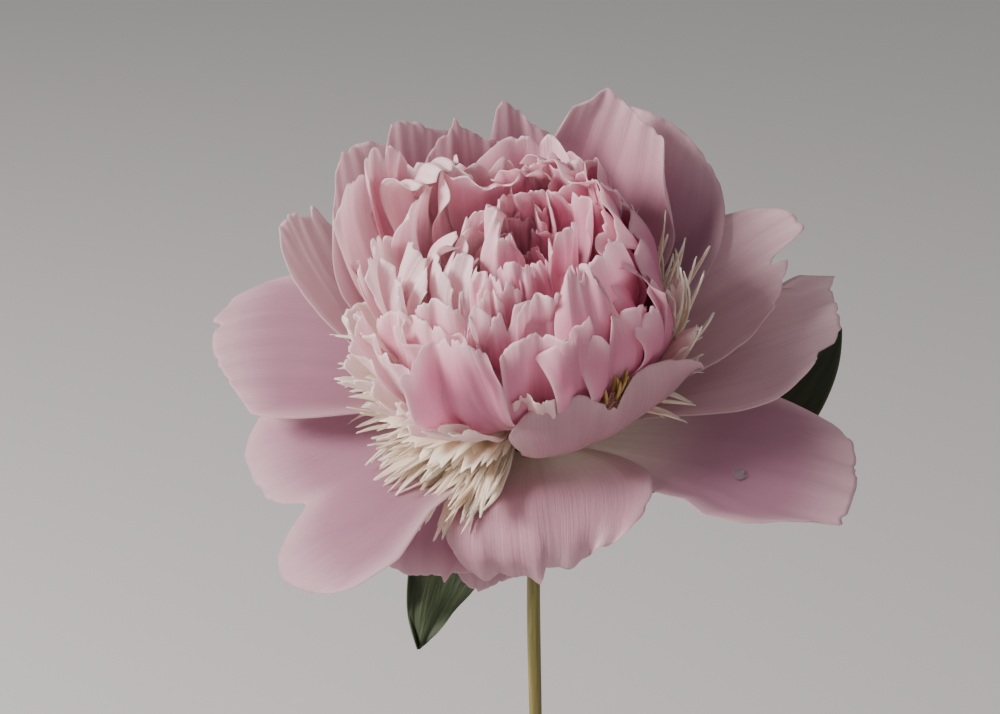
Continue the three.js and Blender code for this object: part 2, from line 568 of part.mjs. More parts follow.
// Each strip is the azimuth, radius and height of its tip, and its width. The broader ones lie over the others,
// against the foot of the ball. They are closest at the front left.
const FRINGE_STRIPS = [
  [-102, 53, 34, 4], [-91, 53, 22, 5.5], [-80, 46, 20, 5], [-68, 41, 18, 5], [-54, 52, 13, 5], [-44, 43, 14, 4],
  [-38, 46, 8, 4.5], [-33, 51, 3, 4], [-20, 31, 11, 4], [83, 40, 34, 4], [90, 46, 36, 5.5], [96, 42, 41, 5],
  [110, 48, 36, 5], [128, 50, 34, 5], [146, 48, 34, 5], [165, 50, 33, 5], [-176, 48, 33, 5], [-158, 50, 33, 5],
  [-140, 48, 33, 5], [-122, 50, 33, 5],
  [-88, 39, 36, 13], [-74, 42, 29, 13], [-61, 40, 25, 14], [-48, 39, 21, 13], [-36, 36, 19, 14], [-22, 31, 17, 12],
];
const BROAD_STRIP = 10; // one wider than this has a blunt tip, the others a narrow one
const FRINGE_COLLAR = [9.4, 11.6, 11.5];
const fringeStrips = FRINGE_STRIPS.map(([azimuth, radius, height, width]) =>
  petal({
    base: [azimuth, 10, 10.5],
    via: [azimuth, 0.62 * radius, Math.max(14, 0.55 * height + 9)],
    tip: [azimuth, radius, height],
    width,
    foot: 0.25,
    full: 0.6,
    tipWidth: width < BROAD_STRIP ? 0.35 : 0.8,
    cup: [20, 30],
  }),
);
const fringePairs = fringeStrips.map((blade) => bladePair(blade, 1, 3));
const fringeWhole = fuse([collarOf(...FRINGE_COLLAR, 0), ...fringePairs.map(({ blade }) => blade)]);
const fringe = largestBody(fringeWhole.subtract(allGuardCutters).subtract(innerCutter).subtract(seat));
const fringeCutter = fuse([collarOf(...FRINGE_COLLAR, GAP), ...fringePairs.map(({ cutter }) => cutter)]);

const STAMEN_COUNT = 10;
const STAMEN_COLLAR = [11.9, 13.9, 11];

/** A stamen: a three-sided thread of changing thickness, bent along its path and ending in its anther. */
function stamenOf(i) {
  const q = (k) => quirk(i + 1, 80 + k);
  const azimuth = (i * 360) / STAMEN_COUNT + 4 * q(0);
  const back = (1 - Math.cos(THREE.MathUtils.degToRad(azimuth))) / 2;
  const path = new THREE.QuadraticBezierCurve3(
    around([azimuth, 10, 12.9]),
    around([azimuth + 5 * q(1), 21, 14.5 + 2 * back]),
    around([azimuth + 8 * q(2), 27 + 3 * q(3), 17 + 6 * back + 2 * q(4)]),
  );
  const stations = [[0, 0.5], [0.45, 0.45], [0.82, 0.45], [0.9, 1], [1, 0.5]];
  const positions = [];
  for (const [share, radius] of stations) {
    const forward = path.getTangentAt(share);
    const side = new THREE.Vector3(0, 0, 1).cross(forward).normalize();
    const up = forward.clone().cross(side);
    for (let corner = 0; corner < 3; corner++) {
      const angle = (2 * Math.PI * corner) / 3;
      const point = path.getPointAt(share).addScaledVector(side, radius * Math.cos(angle));
      positions.push(...point.addScaledVector(up, radius * Math.sin(angle)).toArray());
    }
  }
  const triVerts = [0, 2, 1];
  for (let ring = 0; ring < stations.length - 1; ring++) {
    for (let corner = 0; corner < 3; corner++) {
      const [a, b] = [3 * ring + corner, 3 * ring + ((corner + 1) % 3)];
      triVerts.push(a, b, b + 3, a, b + 3, a + 3);
    }
  }
  const last = 3 * (stations.length - 1);
  triVerts.push(last, last + 1, last + 2);
  return new wasm.Manifold(
    new wasm.Mesh({
      numProp: 3,
      vertProperties: new Float32Array(positions),
      triVerts: new Uint32Array(triVerts),
    }),
  );
}

const stamensWhole = fuse([
  collarOf(...STAMEN_COLLAR, 0),
  ...Array.from({ length: STAMEN_COUNT }, (_, i) => stamenOf(i)),
]);
const stamens = largestBody(
  [seat, allGuardCutters, innerCutter, fringeCutter].reduce((left, other) => left.subtract(other), stamensWhole),
);

// ---- The whole object ----

const glaze = material(0xb9b2a6, 0.3);
const clearWater = material(0xdfe8e6, 0.1);
const stemGreen = material(0x51421d, 0.5);
const leafGreen = material(0x2d2921, 0.55);
const petalPink = material(0xb08290, 0.6);
const innerPink = material(0xd3a3ab, 0.65);
const fringeCream = material(0xd2b6ab, 0.65);
const stamenGold = material(0xb08a4a, 0.6);

bloom.add(piece("inner_petals", inner, innerPink));
bloom.add(piece("fringe_petals", fringe, fringeCream));
bloom.add(piece("stamens", stamens, stamenGold));
guards.forEach((guard, i) => {
  bloom.add(piece(`guard_petal_${String(i + 1).padStart(2, "0")}`, guard, petalPink));
});

const peony = new THREE.Group();
peony.add(piece("vase", vase, glaze));
peony.add(piece("water", water, clearWater));
peony.add(piece("stem", stem, stemGreen));
peony.add(piece("leaf_left", leftLeaf, leafGreen));
peony.add(piece("leaf_right", rightLeaf, leafGreen));
peony.add(bloom);

export default peony;
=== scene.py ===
# A peony in a bud vase: one cut double peony that nods forwards on its stem, in a small glazed vase. The file
# goes up the object: the room it stands in, the vase and its water, the stem, the leaves, then the bloom from
# its outer petals to the ball, the fringe and the stamens. Sizes are in millimetres until a mesh is made, in
# metres.
import math

import bpy
import numpy as np
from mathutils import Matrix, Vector


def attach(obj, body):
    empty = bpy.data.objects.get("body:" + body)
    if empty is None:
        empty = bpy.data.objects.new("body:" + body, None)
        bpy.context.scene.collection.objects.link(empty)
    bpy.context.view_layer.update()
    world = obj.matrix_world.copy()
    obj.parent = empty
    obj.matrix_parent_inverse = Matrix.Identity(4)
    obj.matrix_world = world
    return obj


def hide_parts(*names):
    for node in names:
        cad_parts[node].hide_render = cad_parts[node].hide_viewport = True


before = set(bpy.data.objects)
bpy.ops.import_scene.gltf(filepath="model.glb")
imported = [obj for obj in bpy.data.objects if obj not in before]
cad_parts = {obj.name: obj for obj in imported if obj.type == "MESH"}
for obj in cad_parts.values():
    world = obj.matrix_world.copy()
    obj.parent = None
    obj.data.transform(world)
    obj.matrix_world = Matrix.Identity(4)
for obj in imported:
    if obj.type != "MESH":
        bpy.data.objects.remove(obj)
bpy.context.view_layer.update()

# ---- The room: floor, light and camera ----
# The object stands on a plain pale floor in soft studio light: a wide lamp high on the left, a weaker one low
# on the right, and a pale room all round. The camera looks down on the bloom from the front.

MM = 0.001
FLOOR_REACH = 4000
RECEPTACLE = np.array([-3.0, -8.0, 240.0])  # where the petals leave the stem
CAMERA_HEIGHT_ANGLE = 20
CAMERA_DISTANCE = 775
LENS, SENSOR_WIDTH = 100, 36
MM_PER_PIXEL = 0.28
RECEPTACLE_FROM_MIDDLE = (30, 73)  # pixels right of and below the middle of the picture


def smooth_mesh(name, points, faces):
    """A smooth object from points in millimetres."""
    mesh = bpy.data.meshes.new(name)
    mesh.from_pydata((np.asarray(points) * MM).tolist(), [], [list(map(int, face)) for face in faces])
    mesh.polygons.foreach_set("use_smooth", [True] * len(faces))
    mesh.update()
    thing = bpy.data.objects.new(name, mesh)
    bpy.context.scene.collection.objects.link(thing)
    return thing


def add_node(tree, kind, *values, **settings):
    """A node with its settings. Bare values feed its sockets in order, and a name in capitals feeds the
    socket of that name (underscores are spaces). An output is joined to it, and anything else is set."""
    node = tree.nodes.new(kind)
    for name in [name for name in settings if name[0].islower()]:
        setattr(node, name, settings.pop(name))
    named = [(node.inputs[name.replace("_", " ")], value) for name, value in settings.items()]
    for socket, value in [*zip(node.inputs, values), *named]:
        if isinstance(value, bpy.types.NodeSocket):
            tree.links.new(value, socket)
        else:
            socket.default_value = value
    return node


def blended(tree, mask, under, over):
    """Two colours mixed by a mask. Each is an output, or its red, green and blue."""
    under, over = [(*colour, 1) if isinstance(colour, tuple) else colour for colour in (under, over)]
    mix = add_node(tree, "ShaderNodeMix", data_type="RGBA", Factor=mask, A=under, B=over)
    return mix.outputs["Result"]


class Finish:
    """A material made of nodes, with short ways to add a node and to drive a socket of its shader."""

    def __init__(self, name):
        self.material = bpy.data.materials.new(name)
        self.material.use_nodes = True
        self.tree = self.material.node_tree
        self.shader = self.tree.nodes["Principled BSDF"]

    def add(self, kind, *values, **settings):
        return add_node(self.tree, kind, *values, **settings)

    def drive(self, socket, output):
        self.tree.links.new(output, self.shader.inputs[socket])

    def emboss(self, height, strength, distance):
        """Raises the surface where the height is high, by a distance in metres."""
        bump = self.add("ShaderNodeBump", Height=height, Strength=strength, Distance=distance)
        self.drive("Normal", bump.outputs["Normal"])


floor_corners = [[x * FLOOR_REACH, y * FLOOR_REACH, 0] for x, y in ((-1, -1), (1, -1), (1, 1), (-1, 1))]
floor = smooth_mesh("floor", floor_corners, [(0, 1, 2, 3)])
floor_paint = Finish("floor_paint")
floor_paint.shader.inputs["Roughness"].default_value = 0.85
floor_grain = floor_paint.add("ShaderNodeTexNoise", Scale=1.3, Detail=3.0).outputs["Fac"]
floor_tone = blended(floor_paint.tree, floor_grain, (0.50, 0.475, 0.465), (0.56, 0.535, 0.525))
floor_paint.drive("Base Color", floor_tone)
floor.data.materials.append(floor_paint.material)

bloom_centre = RECEPTACLE * MM + np.array([0, -0.02, 0.04])


def lamp(name, place, size, power, colour):
    """A round lamp that shines on the bloom, its place and size in metres."""
    data = bpy.data.lights.new(name, "AREA")
    data.shape = "DISK"
    data.size = size
    data.energy = power
    data.color = colour
    thing = bpy.data.objects.new(name, data)
    bpy.context.scene.collection.objects.link(thing)
    thing.location = place
    thing.rotation_euler = Vector(bloom_centre - place).to_track_quat("-Z", "Y").to_euler()


lamp("key_lamp", (-1.18, -0.47, 0.99), 0.6, 51, (1.0, 0.97, 0.94))
lamp("fill_lamp", (1.1, -0.9, 0.5), 0.9, 3.0, (0.95, 0.97, 1.0))
world = bpy.data.worlds.new("room")
bpy.context.scene.world = world
world.use_nodes = True
room_light = world.node_tree.nodes["Background"]
room_light.inputs["Color"].default_value = (0.80, 0.80, 0.83, 1)
room_light.inputs["Strength"].default_value = 0.42

tilt = math.radians(CAMERA_HEIGHT_ANGLE)
look = np.array([0, math.cos(tilt), -math.sin(tilt)])
picture_right, picture_up = np.array([1, 0, 0]), np.array([0, math.sin(tilt), math.cos(tilt)])
right_of_middle, below_middle = RECEPTACLE_FROM_MIDDLE
aim = RECEPTACLE + MM_PER_PIXEL * (below_middle * picture_up - right_of_middle * picture_right)
camera_data = bpy.data.cameras.new("camera")
camera_data.lens = LENS
camera_data.sensor_width = SENSOR_WIDTH
camera = bpy.data.objects.new("camera", camera_data)
bpy.context.scene.collection.objects.link(camera)
camera.location = ((aim - CAMERA_DISTANCE * look) * MM).tolist()
camera.rotation_euler = (math.pi / 2 - tilt, 0, 0)
bpy.context.scene.camera = camera

# ---- The vase ----
# A small round bud vase with a slim neck and a rounded lip, thrown in stoneware and glazed inside and out.
# The glaze is a warm grey that is browner over the lip, and the foot is left dry.

VASE_HEIGHT = 138
FOOT_RADIUS = 25
FOOT_ROUND = 1.2
FOOT_RING = 4
FOOT_HOLLOW = 0.9
BODY_RADIUS = 39
BODY_HEIGHT = 50
NECK_RADIUS = 10.5
NECK_HEIGHT = 108
LIP_RADIUS = 13
LIP_ROUND = 1.6
WALL = 3.8
VASE_FLOOR = 6
VASE_FLOOR_ROUND = 4


def smooth_curve(points, steps, centripetal=False):
    """Points along a smooth curve through the given points, evenly spaced along it."""
    points = np.asarray(points, float)
    before = 2 * points[0] - points[1] if centripetal else points[0]
    after = 2 * points[-1] - points[-2] if centripetal else points[-1]
    padded = np.vstack([before, points, after])
    dense = []
    for p0, p1, p2, p3 in zip(padded, padded[1:], padded[2:], padded[3:]):
        if centripetal:
            d0, d1, d2 = [math.sqrt(np.linalg.norm(b - a)) for a, b in ((p0, p1), (p1, p2), (p2, p3))]
            leave = ((p1 - p0) / d0 - (p2 - p0) / (d0 + d1) + (p2 - p1) / d1) * d1
            arrive = ((p2 - p1) / d1 - (p3 - p1) / (d1 + d2) + (p3 - p2) / d2) * d1
        else:
            leave, arrive = (p2 - p0) / 2, (p3 - p1) / 2
        t = np.linspace(0, 1, 60, endpoint=False)[:, None]
        cubic = (2 * t**3 - 3 * t**2 + 1) * p1 + (t**3 - 2 * t**2 + t) * leave
        dense.append(cubic + (-2 * t**3 + 3 * t**2) * p2 + (t**3 - t**2) * arrive)
    dense = np.vstack([*dense, points[-1:]])
    length = np.r_[0, np.cumsum(np.linalg.norm(np.diff(dense, axis=0), axis=1))]
    even = np.linspace(0, length[-1], steps + 1)
    return np.stack([np.interp(even, length, dense[:, k]) for k in range(points.shape[1])], -1)


def as_it_stands(points):
    return points


def turned(name, profile, sides, to_room=as_it_stands):
    """A profile of [radius, height] pairs, from the axis round to the axis again, swept round."""
    points, faces = [], []
    rings = []
    for radius, height in profile:
        first = len(points)
        if radius < 1e-6:
            points.append([0, 0, height])
            rings.append([first] * sides)
        else:
            angles = 2 * np.pi * np.arange(sides) / sides
            points += [[radius * math.cos(a), radius * math.sin(a), height] for a in angles]
            rings.append(list(range(first, first + sides)))
    for low, high in zip(rings, rings[1:]):
        for i in range(sides):
            j = (i + 1) % sides
            corners = [low[i], low[j], high[j], high[i]]
            faces.append([corner for n, corner in enumerate(corners) if corner != corners[n - 1]])
    return smooth_mesh(name, to_room(np.array(points)), faces)


outside = smooth_curve(
    [
        (FOOT_RADIUS, FOOT_ROUND),
        (BODY_RADIUS * 0.93, BODY_HEIGHT * 0.48),
        (BODY_RADIUS, BODY_HEIGHT),
        (BODY_RADIUS * 0.74, BODY_HEIGHT * 1.6),
        (NECK_RADIUS * 1.3, NECK_HEIGHT * 0.86),
        (NECK_RADIUS, NECK_HEIGHT),
        (LIP_RADIUS, VASE_HEIGHT - LIP_ROUND),
    ],
    66,
)
slopes = np.gradient(outside, axis=0)
slopes /= np.linalg.norm(slopes, axis=1)[:, None]
inside = outside + WALL * np.stack([-slopes[:, 1], slopes[:, 0]], -1)
inside = inside[inside[:, 1] > VASE_FLOOR + VASE_FLOOR_ROUND][::-1]
lip_middle, lip_half = (outside[-1][0] + inside[0][0]) / 2, abs(outside[-1][0] - inside[0][0]) / 2
lip_turns = np.linspace(0, math.pi, 9)[1:-1]
lip = [(lip_middle + lip_half * math.cos(a), outside[-1][1] + LIP_ROUND * math.sin(a)) for a in lip_turns]
ring_inside = FOOT_RADIUS - FOOT_RING
floor_edge = inside[-1][0]
vase_profile = [
    (0, FOOT_HOLLOW),
    (ring_inside - 1, FOOT_HOLLOW),
    (ring_inside, 0),
    (FOOT_RADIUS - FOOT_ROUND, 0),
    *map(tuple, outside),
    *lip,
    *map(tuple, inside),
    (floor_edge - 1.5, VASE_FLOOR + 1),
    (floor_edge - VASE_FLOOR_ROUND, VASE_FLOOR),
    (0, VASE_FLOOR),
]
vase = turned("bud_vase", vase_profile, 96)


def graded(tree, value, start, end, low=0.0, high=1.0, **settings):
    """A value spread from start..end to low..high, and held at the ends."""
    limits = {"From_Min": start, "From_Max": end, "To_Min": low, "To_Max": high}
    return add_node(tree, "ShaderNodeMapRange", Value=value, **limits, **settings).outputs["Result"]


def noise(tree, place, scale, detail, **settings):
    """Soft spots, from 0 to 1, spread over the places given."""
    spots = add_node(tree, "ShaderNodeTexNoise", Vector=place, Scale=scale, Detail=detail, **settings)
    return spots.outputs["Fac"]


glaze = Finish("grey_glaze")
glaze.shader.inputs["Coat Roughness"].default_value = 0.08
glaze.shader.inputs["Coat Weight"].default_value = 0.5
glaze_place = glaze.add("ShaderNodeNewGeometry").outputs["Position"]
glaze_height = glaze.add("ShaderNodeSeparateXYZ", glaze_place).outputs["Z"]
flow = noise(glaze.tree, glaze_place, 28.0, 4.0, Roughness=0.6)
speckle = noise(glaze.tree, glaze_place, 900.0, 2.0)
lip_mask = graded(glaze.tree, glaze_height, (VASE_HEIGHT - 2.5) * MM, (VASE_HEIGHT + 0.2) * MM)
foot_mask = graded(glaze.tree, glaze_height, 1.6 * MM, 0.9 * MM)
glaze_colour = (0.46, 0.42, 0.37)
for mask, colour in (
    (graded(glaze.tree, flow, 0.3, 0.75), (0.60, 0.56, 0.50)),
    (graded(glaze.tree, speckle, 0.68, 0.74), (0.19, 0.15, 0.12)),
    (lip_mask, (0.62, 0.50, 0.38)),
    (foot_mask, (0.40, 0.31, 0.23)),
):
    glaze_colour = blended(glaze.tree, mask, glaze_colour, colour)
glaze.drive("Base Color", glaze_colour)
glaze.drive("Roughness", graded(glaze.tree, foot_mask, 0.0, 1.0, 0.24, 0.8))
throwing = glaze.add("ShaderNodeTexWave", wave_type="BANDS", bands_direction="Z", Vector=glaze_place)
throwing.inputs["Scale"].default_value = 55.0
throwing.inputs["Distortion"].default_value = 1.5
glaze.emboss(throwing.outputs["Fac"], 0.12, 0.6 * MM)
vase.data.materials.append(glaze.material)
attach(vase, "root")
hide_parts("vase")

# ---- The water ----
# Clear water fills the vase to just over half of its height. It stays the plain solid of the frame, which has
# a hole for the stem, and only its surface is seen, down through the neck.

water_finish = Finish("clear_water")
water_finish.shader.inputs["Roughness"].default_value = 0.03
water_finish.shader.inputs["IOR"].default_value = 1.33
water_finish.shader.inputs["Transmission Weight"].default_value = 0.9
ripple = water_finish.add("ShaderNodeTexNoise", Scale=60.0, Detail=1.0).outputs["Fac"]
water_finish.drive("Base Color", blended(water_finish.tree, ripple, (0.78, 0.86, 0.83), (0.88, 0.93, 0.91)))
water_finish.emboss(ripple, 0.1, 0.5 * MM)
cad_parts["water"].data.materials.clear()
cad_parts["water"].data.materials.append(water_finish.material)

# ---- Petals and leaves as sheets ----
# Every petal and leaf grows as one thin sheet, bent along its midrib and cupped across it. It is made here as
# a closed skin round that sheet, thinner towards its rim.

NOD, LEAN = math.radians(22), math.radians(5)
nod = np.array([[1, 0, 0], [0, math.cos(NOD), -math.sin(NOD)], [0, math.sin(NOD), math.cos(NOD)]])
lean = np.array([[math.cos(LEAN), 0, -math.sin(LEAN)], [0, 1, 0], [math.sin(LEAN), 0, math.cos(LEAN)]])
BLOOM_TURN = lean @ nod


def from_bloom(points):
    """Places in the bloom, whose axis nods forwards and leans to the left, as places in the room."""
    return points @ BLOOM_TURN.T + RECEPTACLE


def around(azimuth, radius, height):
    """A place in the bloom: azimuth 0 faces the front and 90 the right, in degrees."""
    angle = math.radians(azimuth)
    return np.array([radius * math.sin(angle), -radius * math.cos(angle), height])


def quirk(i, k):
    """A repeatable number from -1 to 1 for the i-th piece's k-th small difference."""
    x = math.sin(12.9898 * i + 78.233 * k) * 43758.5453
    return 2 * (x - math.floor(x)) - 1


def ease(x):
    x = np.clip(x, 0, 1)
    return x * x * (3 - 2 * x)


def tip_reach(shape, u):
    """The share of its full length that a petal reaches at each place across it, torn where it is ragged."""
    if "rim" in shape:
        reach = np.interp(u, *zip(*shape["rim"]))
    else:
        reach = 1 - shape.get("round", 0.16) * np.abs(u) ** 2.6
    for centre, half, depth in shape.get("notches", ()):
        reach = reach - depth * np.clip(1 - np.abs(u - centre) / half, 0, 1) ** 1.2
    depth, seed = shape.get("ragged", (0, 0))
    tears = 0.4 * np.sin(7 * u + 9 * quirk(seed, 1)) + 0.35 * np.sin(17 * u + 9 * quirk(seed, 2))
    tears = tears + 0.3 * np.sin(37 * u + 9 * quirk(seed, 3))
    return reach - depth * np.clip(tears, 0, 1) ** 1.3


EVEN = ((0, 1), (1, 1))  # as wide on this side as usual, all along


def half_width(shape, u, v):
    """How far a petal reaches to each side along it, more or less on its left (u < 0) and on its right."""
    foot, full, tip = shape.get("foot", 0.2), shape.get("full", 0.68), shape.get("tip_width", 0.62)
    growing = foot + (1 - foot) * np.sin(np.pi / 2 * np.clip(v / full, 0, 1)) ** 1.3
    falling = 1 - (1 - tip) * np.clip((v - full) / (1 - full), 0, 1) ** 2
    left, right = [np.interp(v, *zip(*shape.get(side, EVEN))) for side in ("left", "right")]
    return shape["width"] / 2 * np.where(v < full, growing, falling) * np.where(u < 0, left, right)


def midrib_of(shape, n=140):
    """Places along the midrib with its forward, sideways and inward directions, and its length."""
    a, b, c = shape["path"]
    t = np.linspace(0, 1, n)[:, None]
    line = (1 - t) ** 2 * a + 2 * t * (1 - t) * b + t**2 * c
    length = np.r_[0, np.cumsum(np.linalg.norm(np.diff(line, axis=0), axis=1))]
    share = np.linspace(0, 1, n)
    line = np.stack([np.interp(share * length[-1], length, line[:, k]) for k in range(3)], -1)
    forward = np.gradient(line, axis=0)
    forward /= np.linalg.norm(forward, axis=1)[:, None]
    side = shape["side"] - (forward @ shape["side"])[:, None] * forward
    side /= np.linalg.norm(side, axis=1)[:, None]
    start, degrees = shape.get("curl", (0, 0))
    if degrees:
        bend = np.radians(degrees * ease((share - start) / (1 - start)))[:, None]
        forward = forward * np.cos(bend) + np.cross(forward, side) * np.sin(bend)
        steps = (forward[1:] + forward[:-1]) / 2 * length[-1] / (n - 1)
        line = np.vstack([line[:1], line[0] + np.cumsum(steps, axis=0)])
    return share, line, forward, side, np.cross(forward, side), length[-1]


def sheet_points(shape, columns, rows):
    """The middle surface of a petal or leaf as rows of points from its base to its tip: bent, rolled and
    cupped, then lifted by waves along its sides, a frill at its tip, dents and a crumple."""
    u = np.linspace(-1, 1, columns + 1)[None, :]
    v = np.linspace(shape.get("from", 0), 1, rows + 1)[:, None]
    share = v * (1 + (tip_reach(shape, u) - 1) * v)
    shares, line, forward, side, inward, length = midrib_of(shape)
    at = lambda values: np.stack([np.interp(share, shares, values[:, k]) for k in range(3)], -1)
    line, forward, side, inward = at(line), at(forward), at(side), at(inward)
    line = line + forward * (np.maximum(share - 1, 0) * length)[..., None]

    roll_base, roll_tip = shape.get("roll", (0, 0))
    roll = np.radians(roll_base + (roll_tip - roll_base) * share)[..., None]
    across = side * np.cos(roll) + inward * np.sin(roll)
    upward = inward * np.cos(roll) - side * np.sin(roll)
    cup_base, cup_tip = shape.get("cup", (30, 30))
    cup = np.radians(cup_base + (cup_tip - cup_base) * share)
    cup = np.where(np.abs(cup) < 1e-3, 1e-3, cup)
    width = half_width(shape, u, v)
    lift = width * (1 - np.cos(cup * u)) / cup
    for size, count, phase in shape.get("waves", ()):
        wave = np.sin(2 * np.pi * (count * v + phase) + np.where(u > 0, 1.7, 0))
        lift = lift + size * np.abs(u) ** 2.2 * v**1.5 * wave
    for size, count, phase in shape.get("frill", ()):
        lift = lift + size * v**5 * np.sin(2 * np.pi * (count * u + phase))
    for centre, half, depth, start in shape.get("dents", ()):
        lift = lift + depth * ease((v - start) / (1 - start)) * np.exp(-(((u - centre) / half) ** 2))
    size, seed = shape.get("crumple", (0, 0))
    p, q, r, s = [9 * quirk(seed, k) for k in (4, 5, 6, 7)]
    folds = np.sin(3.1 * u + 3.2 * v + p) + 0.55 * np.sin(5.7 * u - 5.1 * v + q)
    folds = folds + 0.16 * np.sin(12 * u + 7 * v + r) + 0.07 * np.sin(25 * u + 5 * v + s)
    lift = lift + size * ease(v / 0.5) * folds
    return line + across * (width * np.sin(cup * u) / cup)[..., None] + upward * lift[..., None]


RIM_THINNING = 0.65  # the share of its thickness that a petal or leaf loses at its very rim


def skins(name, shapes, columns, rows, thickness, to_room=from_bloom):
    """One mesh of closed petals or leaves. Each point keeps its place along and across its own petal, and the
    petal's tint."""
    points, faces = [], []
    marks = {"along": [], "across": [], "tint": []}
    count = (rows + 1) * (columns + 1)
    for n, shape in enumerate(shapes):
        middle = to_room(sheet_points(shape, columns, rows))
        normal = np.cross(np.gradient(middle, axis=1), np.gradient(middle, axis=0))
        normal /= np.maximum(np.linalg.norm(normal, axis=2), 1e-9)[..., None]
        u, v = np.meshgrid(np.linspace(-1, 1, columns + 1), np.linspace(shape.get("from", 0), 1, rows + 1))
        half = (thickness / 2 * (1 - RIM_THINNING * np.maximum(np.abs(u), v) ** 8))[..., None]
        points += [(middle + normal * half).reshape(-1, 3), (middle - normal * half).reshape(-1, 3)]
        grid = 2 * count * n + np.arange(count).reshape(rows + 1, columns + 1)
        a, b, c, d = grid[:-1, :-1], grid[:-1, 1:], grid[1:, 1:], grid[1:, :-1]
        upper = np.stack([a, b, c, d], -1).reshape(-1, 4)
        faces += [upper, upper[:, ::-1] + count]
        rim = np.r_[grid[0, :-1], grid[:-1, -1], grid[-1, :0:-1], grid[:0:-1, 0]]
        after = np.roll(rim, -1)
        faces.append(np.stack([after, rim, rim + count, after + count], -1))
        for mark, values in (("along", v), ("across", u), ("tint", np.full(count, shape.get("tint", 0.0)))):
            marks[mark] += [values.ravel()] * 2
    thing = smooth_mesh(name, np.vstack(points), np.vstack(faces))
    for mark, values in marks.items():
        attribute = thing.data.attributes.new(mark, "FLOAT", "POINT")
        attribute.data.foreach_set("value", np.concatenate(values).astype(np.float32))
    return thing


def petal(base, via, tip, width, face=0, **form):
    """A petal of the bloom: its midrib bends from base by way of via to tip, each an azimuth, a radius and a
    height. It faces the bloom's axis, or turns away from it by face, in degrees."""
    turn = math.radians((base[0] + tip[0]) / 2 + face)
    return {
        "path": (around(*base), around(*via), around(*tip)),
        "side": np.array([math.cos(turn), math.sin(turn), 0.0]),
        "width": width,
        **form,
    }


# ---- The stem, with the seat of the bloom and its sepals ----
# One cut stem, olive green and slightly ribbed, stands on the floor of the vase and leans on the front of its
# neck. It widens into the fleshy seat that every petal grows from, with five leathery sepals below them.

STEM_RADIUS = 1.8
CLEARANCE = 0.3
STEM_END_BELOW = 7  # how far below the receptacle the stem ends, inside the seat
STEM_STRAIGHT = 9  # and how far it runs straight to there
bloom_axis = BLOOM_TURN @ np.array([0, 0, 1.0])
stem_top = RECEPTACLE - STEM_END_BELOW * bloom_axis
STEM_COURSE = [
    (1.5, 8, VASE_FLOOR + 2 * CLEARANCE),
    (0.8, 2, NECK_HEIGHT / 2),
    (0, STEM_RADIUS + CLEARANCE + WALL - NECK_RADIUS, NECK_HEIGHT),
    (-1.8, -6.2, (VASE_HEIGHT + stem_top[2]) / 2),
    tuple(stem_top - STEM_STRAIGHT * bloom_axis),
    tuple(stem_top),
]
stem_line = smooth_curve(STEM_COURSE, 180, centripetal=True)


def rod(line, radii, sides, ribs=0.0, rib_count=5):
    """Points and faces of a closed rod along a line, its radius given for each point of the line."""
    forward = np.gradient(line, axis=0)
    forward /= np.linalg.norm(forward, axis=1)[:, None]
    side = np.cross(forward, [0, 1.0, 0])
    weak = np.linalg.norm(side, axis=1) < 0.2
    side[weak] = np.cross(forward[weak], [1.0, 0, 0])
    side /= np.linalg.norm(side, axis=1)[:, None]
    up = np.cross(forward, side)
    angles = 2 * np.pi * np.arange(sides) / sides
    reach = np.asarray(radii)[:, None] * (1 + ribs * np.cos(rib_count * angles))[None, :]
    rings = line[:, None, :] + reach[..., None] * (
        side[:, None, :] * np.cos(angles)[None, :, None] + up[:, None, :] * np.sin(angles)[None, :, None]
    )
    count = len(line)
    points = np.vstack([rings.reshape(-1, 3), line[:1], line[-1:]])
    faces = []
    for i in range(count - 1):
        for j in range(sides):
            k = (j + 1) % sides
            faces.append((i * sides + j, i * sides + k, (i + 1) * sides + k, (i + 1) * sides + j))
    low, high = count * sides, count * sides + 1
    last = (count - 1) * sides
    faces += [(low, (j + 1) % sides, j) for j in range(sides)]
    faces += [(high, last + j, last + (j + 1) % sides) for j in range(sides)]
    return points, faces


climb = np.linspace(0, 1, len(stem_line))
stem_radii = STEM_RADIUS * (1 + 0.04 * np.sin(19 * climb) + 0.25 * np.exp(-(((climb - 1) / 0.03) ** 2)))
stem = smooth_mesh("stem", *rod(stem_line, stem_radii, 28, ribs=0.035, rib_count=6))

stem_skin = Finish("stem_skin")
stem_skin.shader.inputs["Roughness"].default_value = 0.46
stem_skin.shader.inputs["Specular IOR Level"].default_value = 0.4
stem_place = stem_skin.add("ShaderNodeNewGeometry").outputs["Position"]
lengthwise = stem_skin.add("ShaderNodeMapping", Vector=stem_place, Scale=(900, 900, 60)).outputs["Vector"]
fibres = noise(stem_skin.tree, lengthwise, 1.0, 4.0, Roughness=0.6)
fibre_mask = graded(stem_skin.tree, fibres, 0.25, 0.8)
blush_mask = graded(stem_skin.tree, noise(stem_skin.tree, stem_place, 30.0, 2.0), 0.5, 0.75, 0.0, 0.6)
olive = blended(stem_skin.tree, fibre_mask, (0.085, 0.070, 0.018), (0.23, 0.215, 0.055))
stem_skin.drive("Base Color", blended(stem_skin.tree, blush_mask, olive, (0.19, 0.07, 0.035)))
stem_skin.emboss(fibres, 0.25, 0.3 * MM)
stem.data.materials.append(stem_skin.material)
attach(stem, "root")
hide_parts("stem")

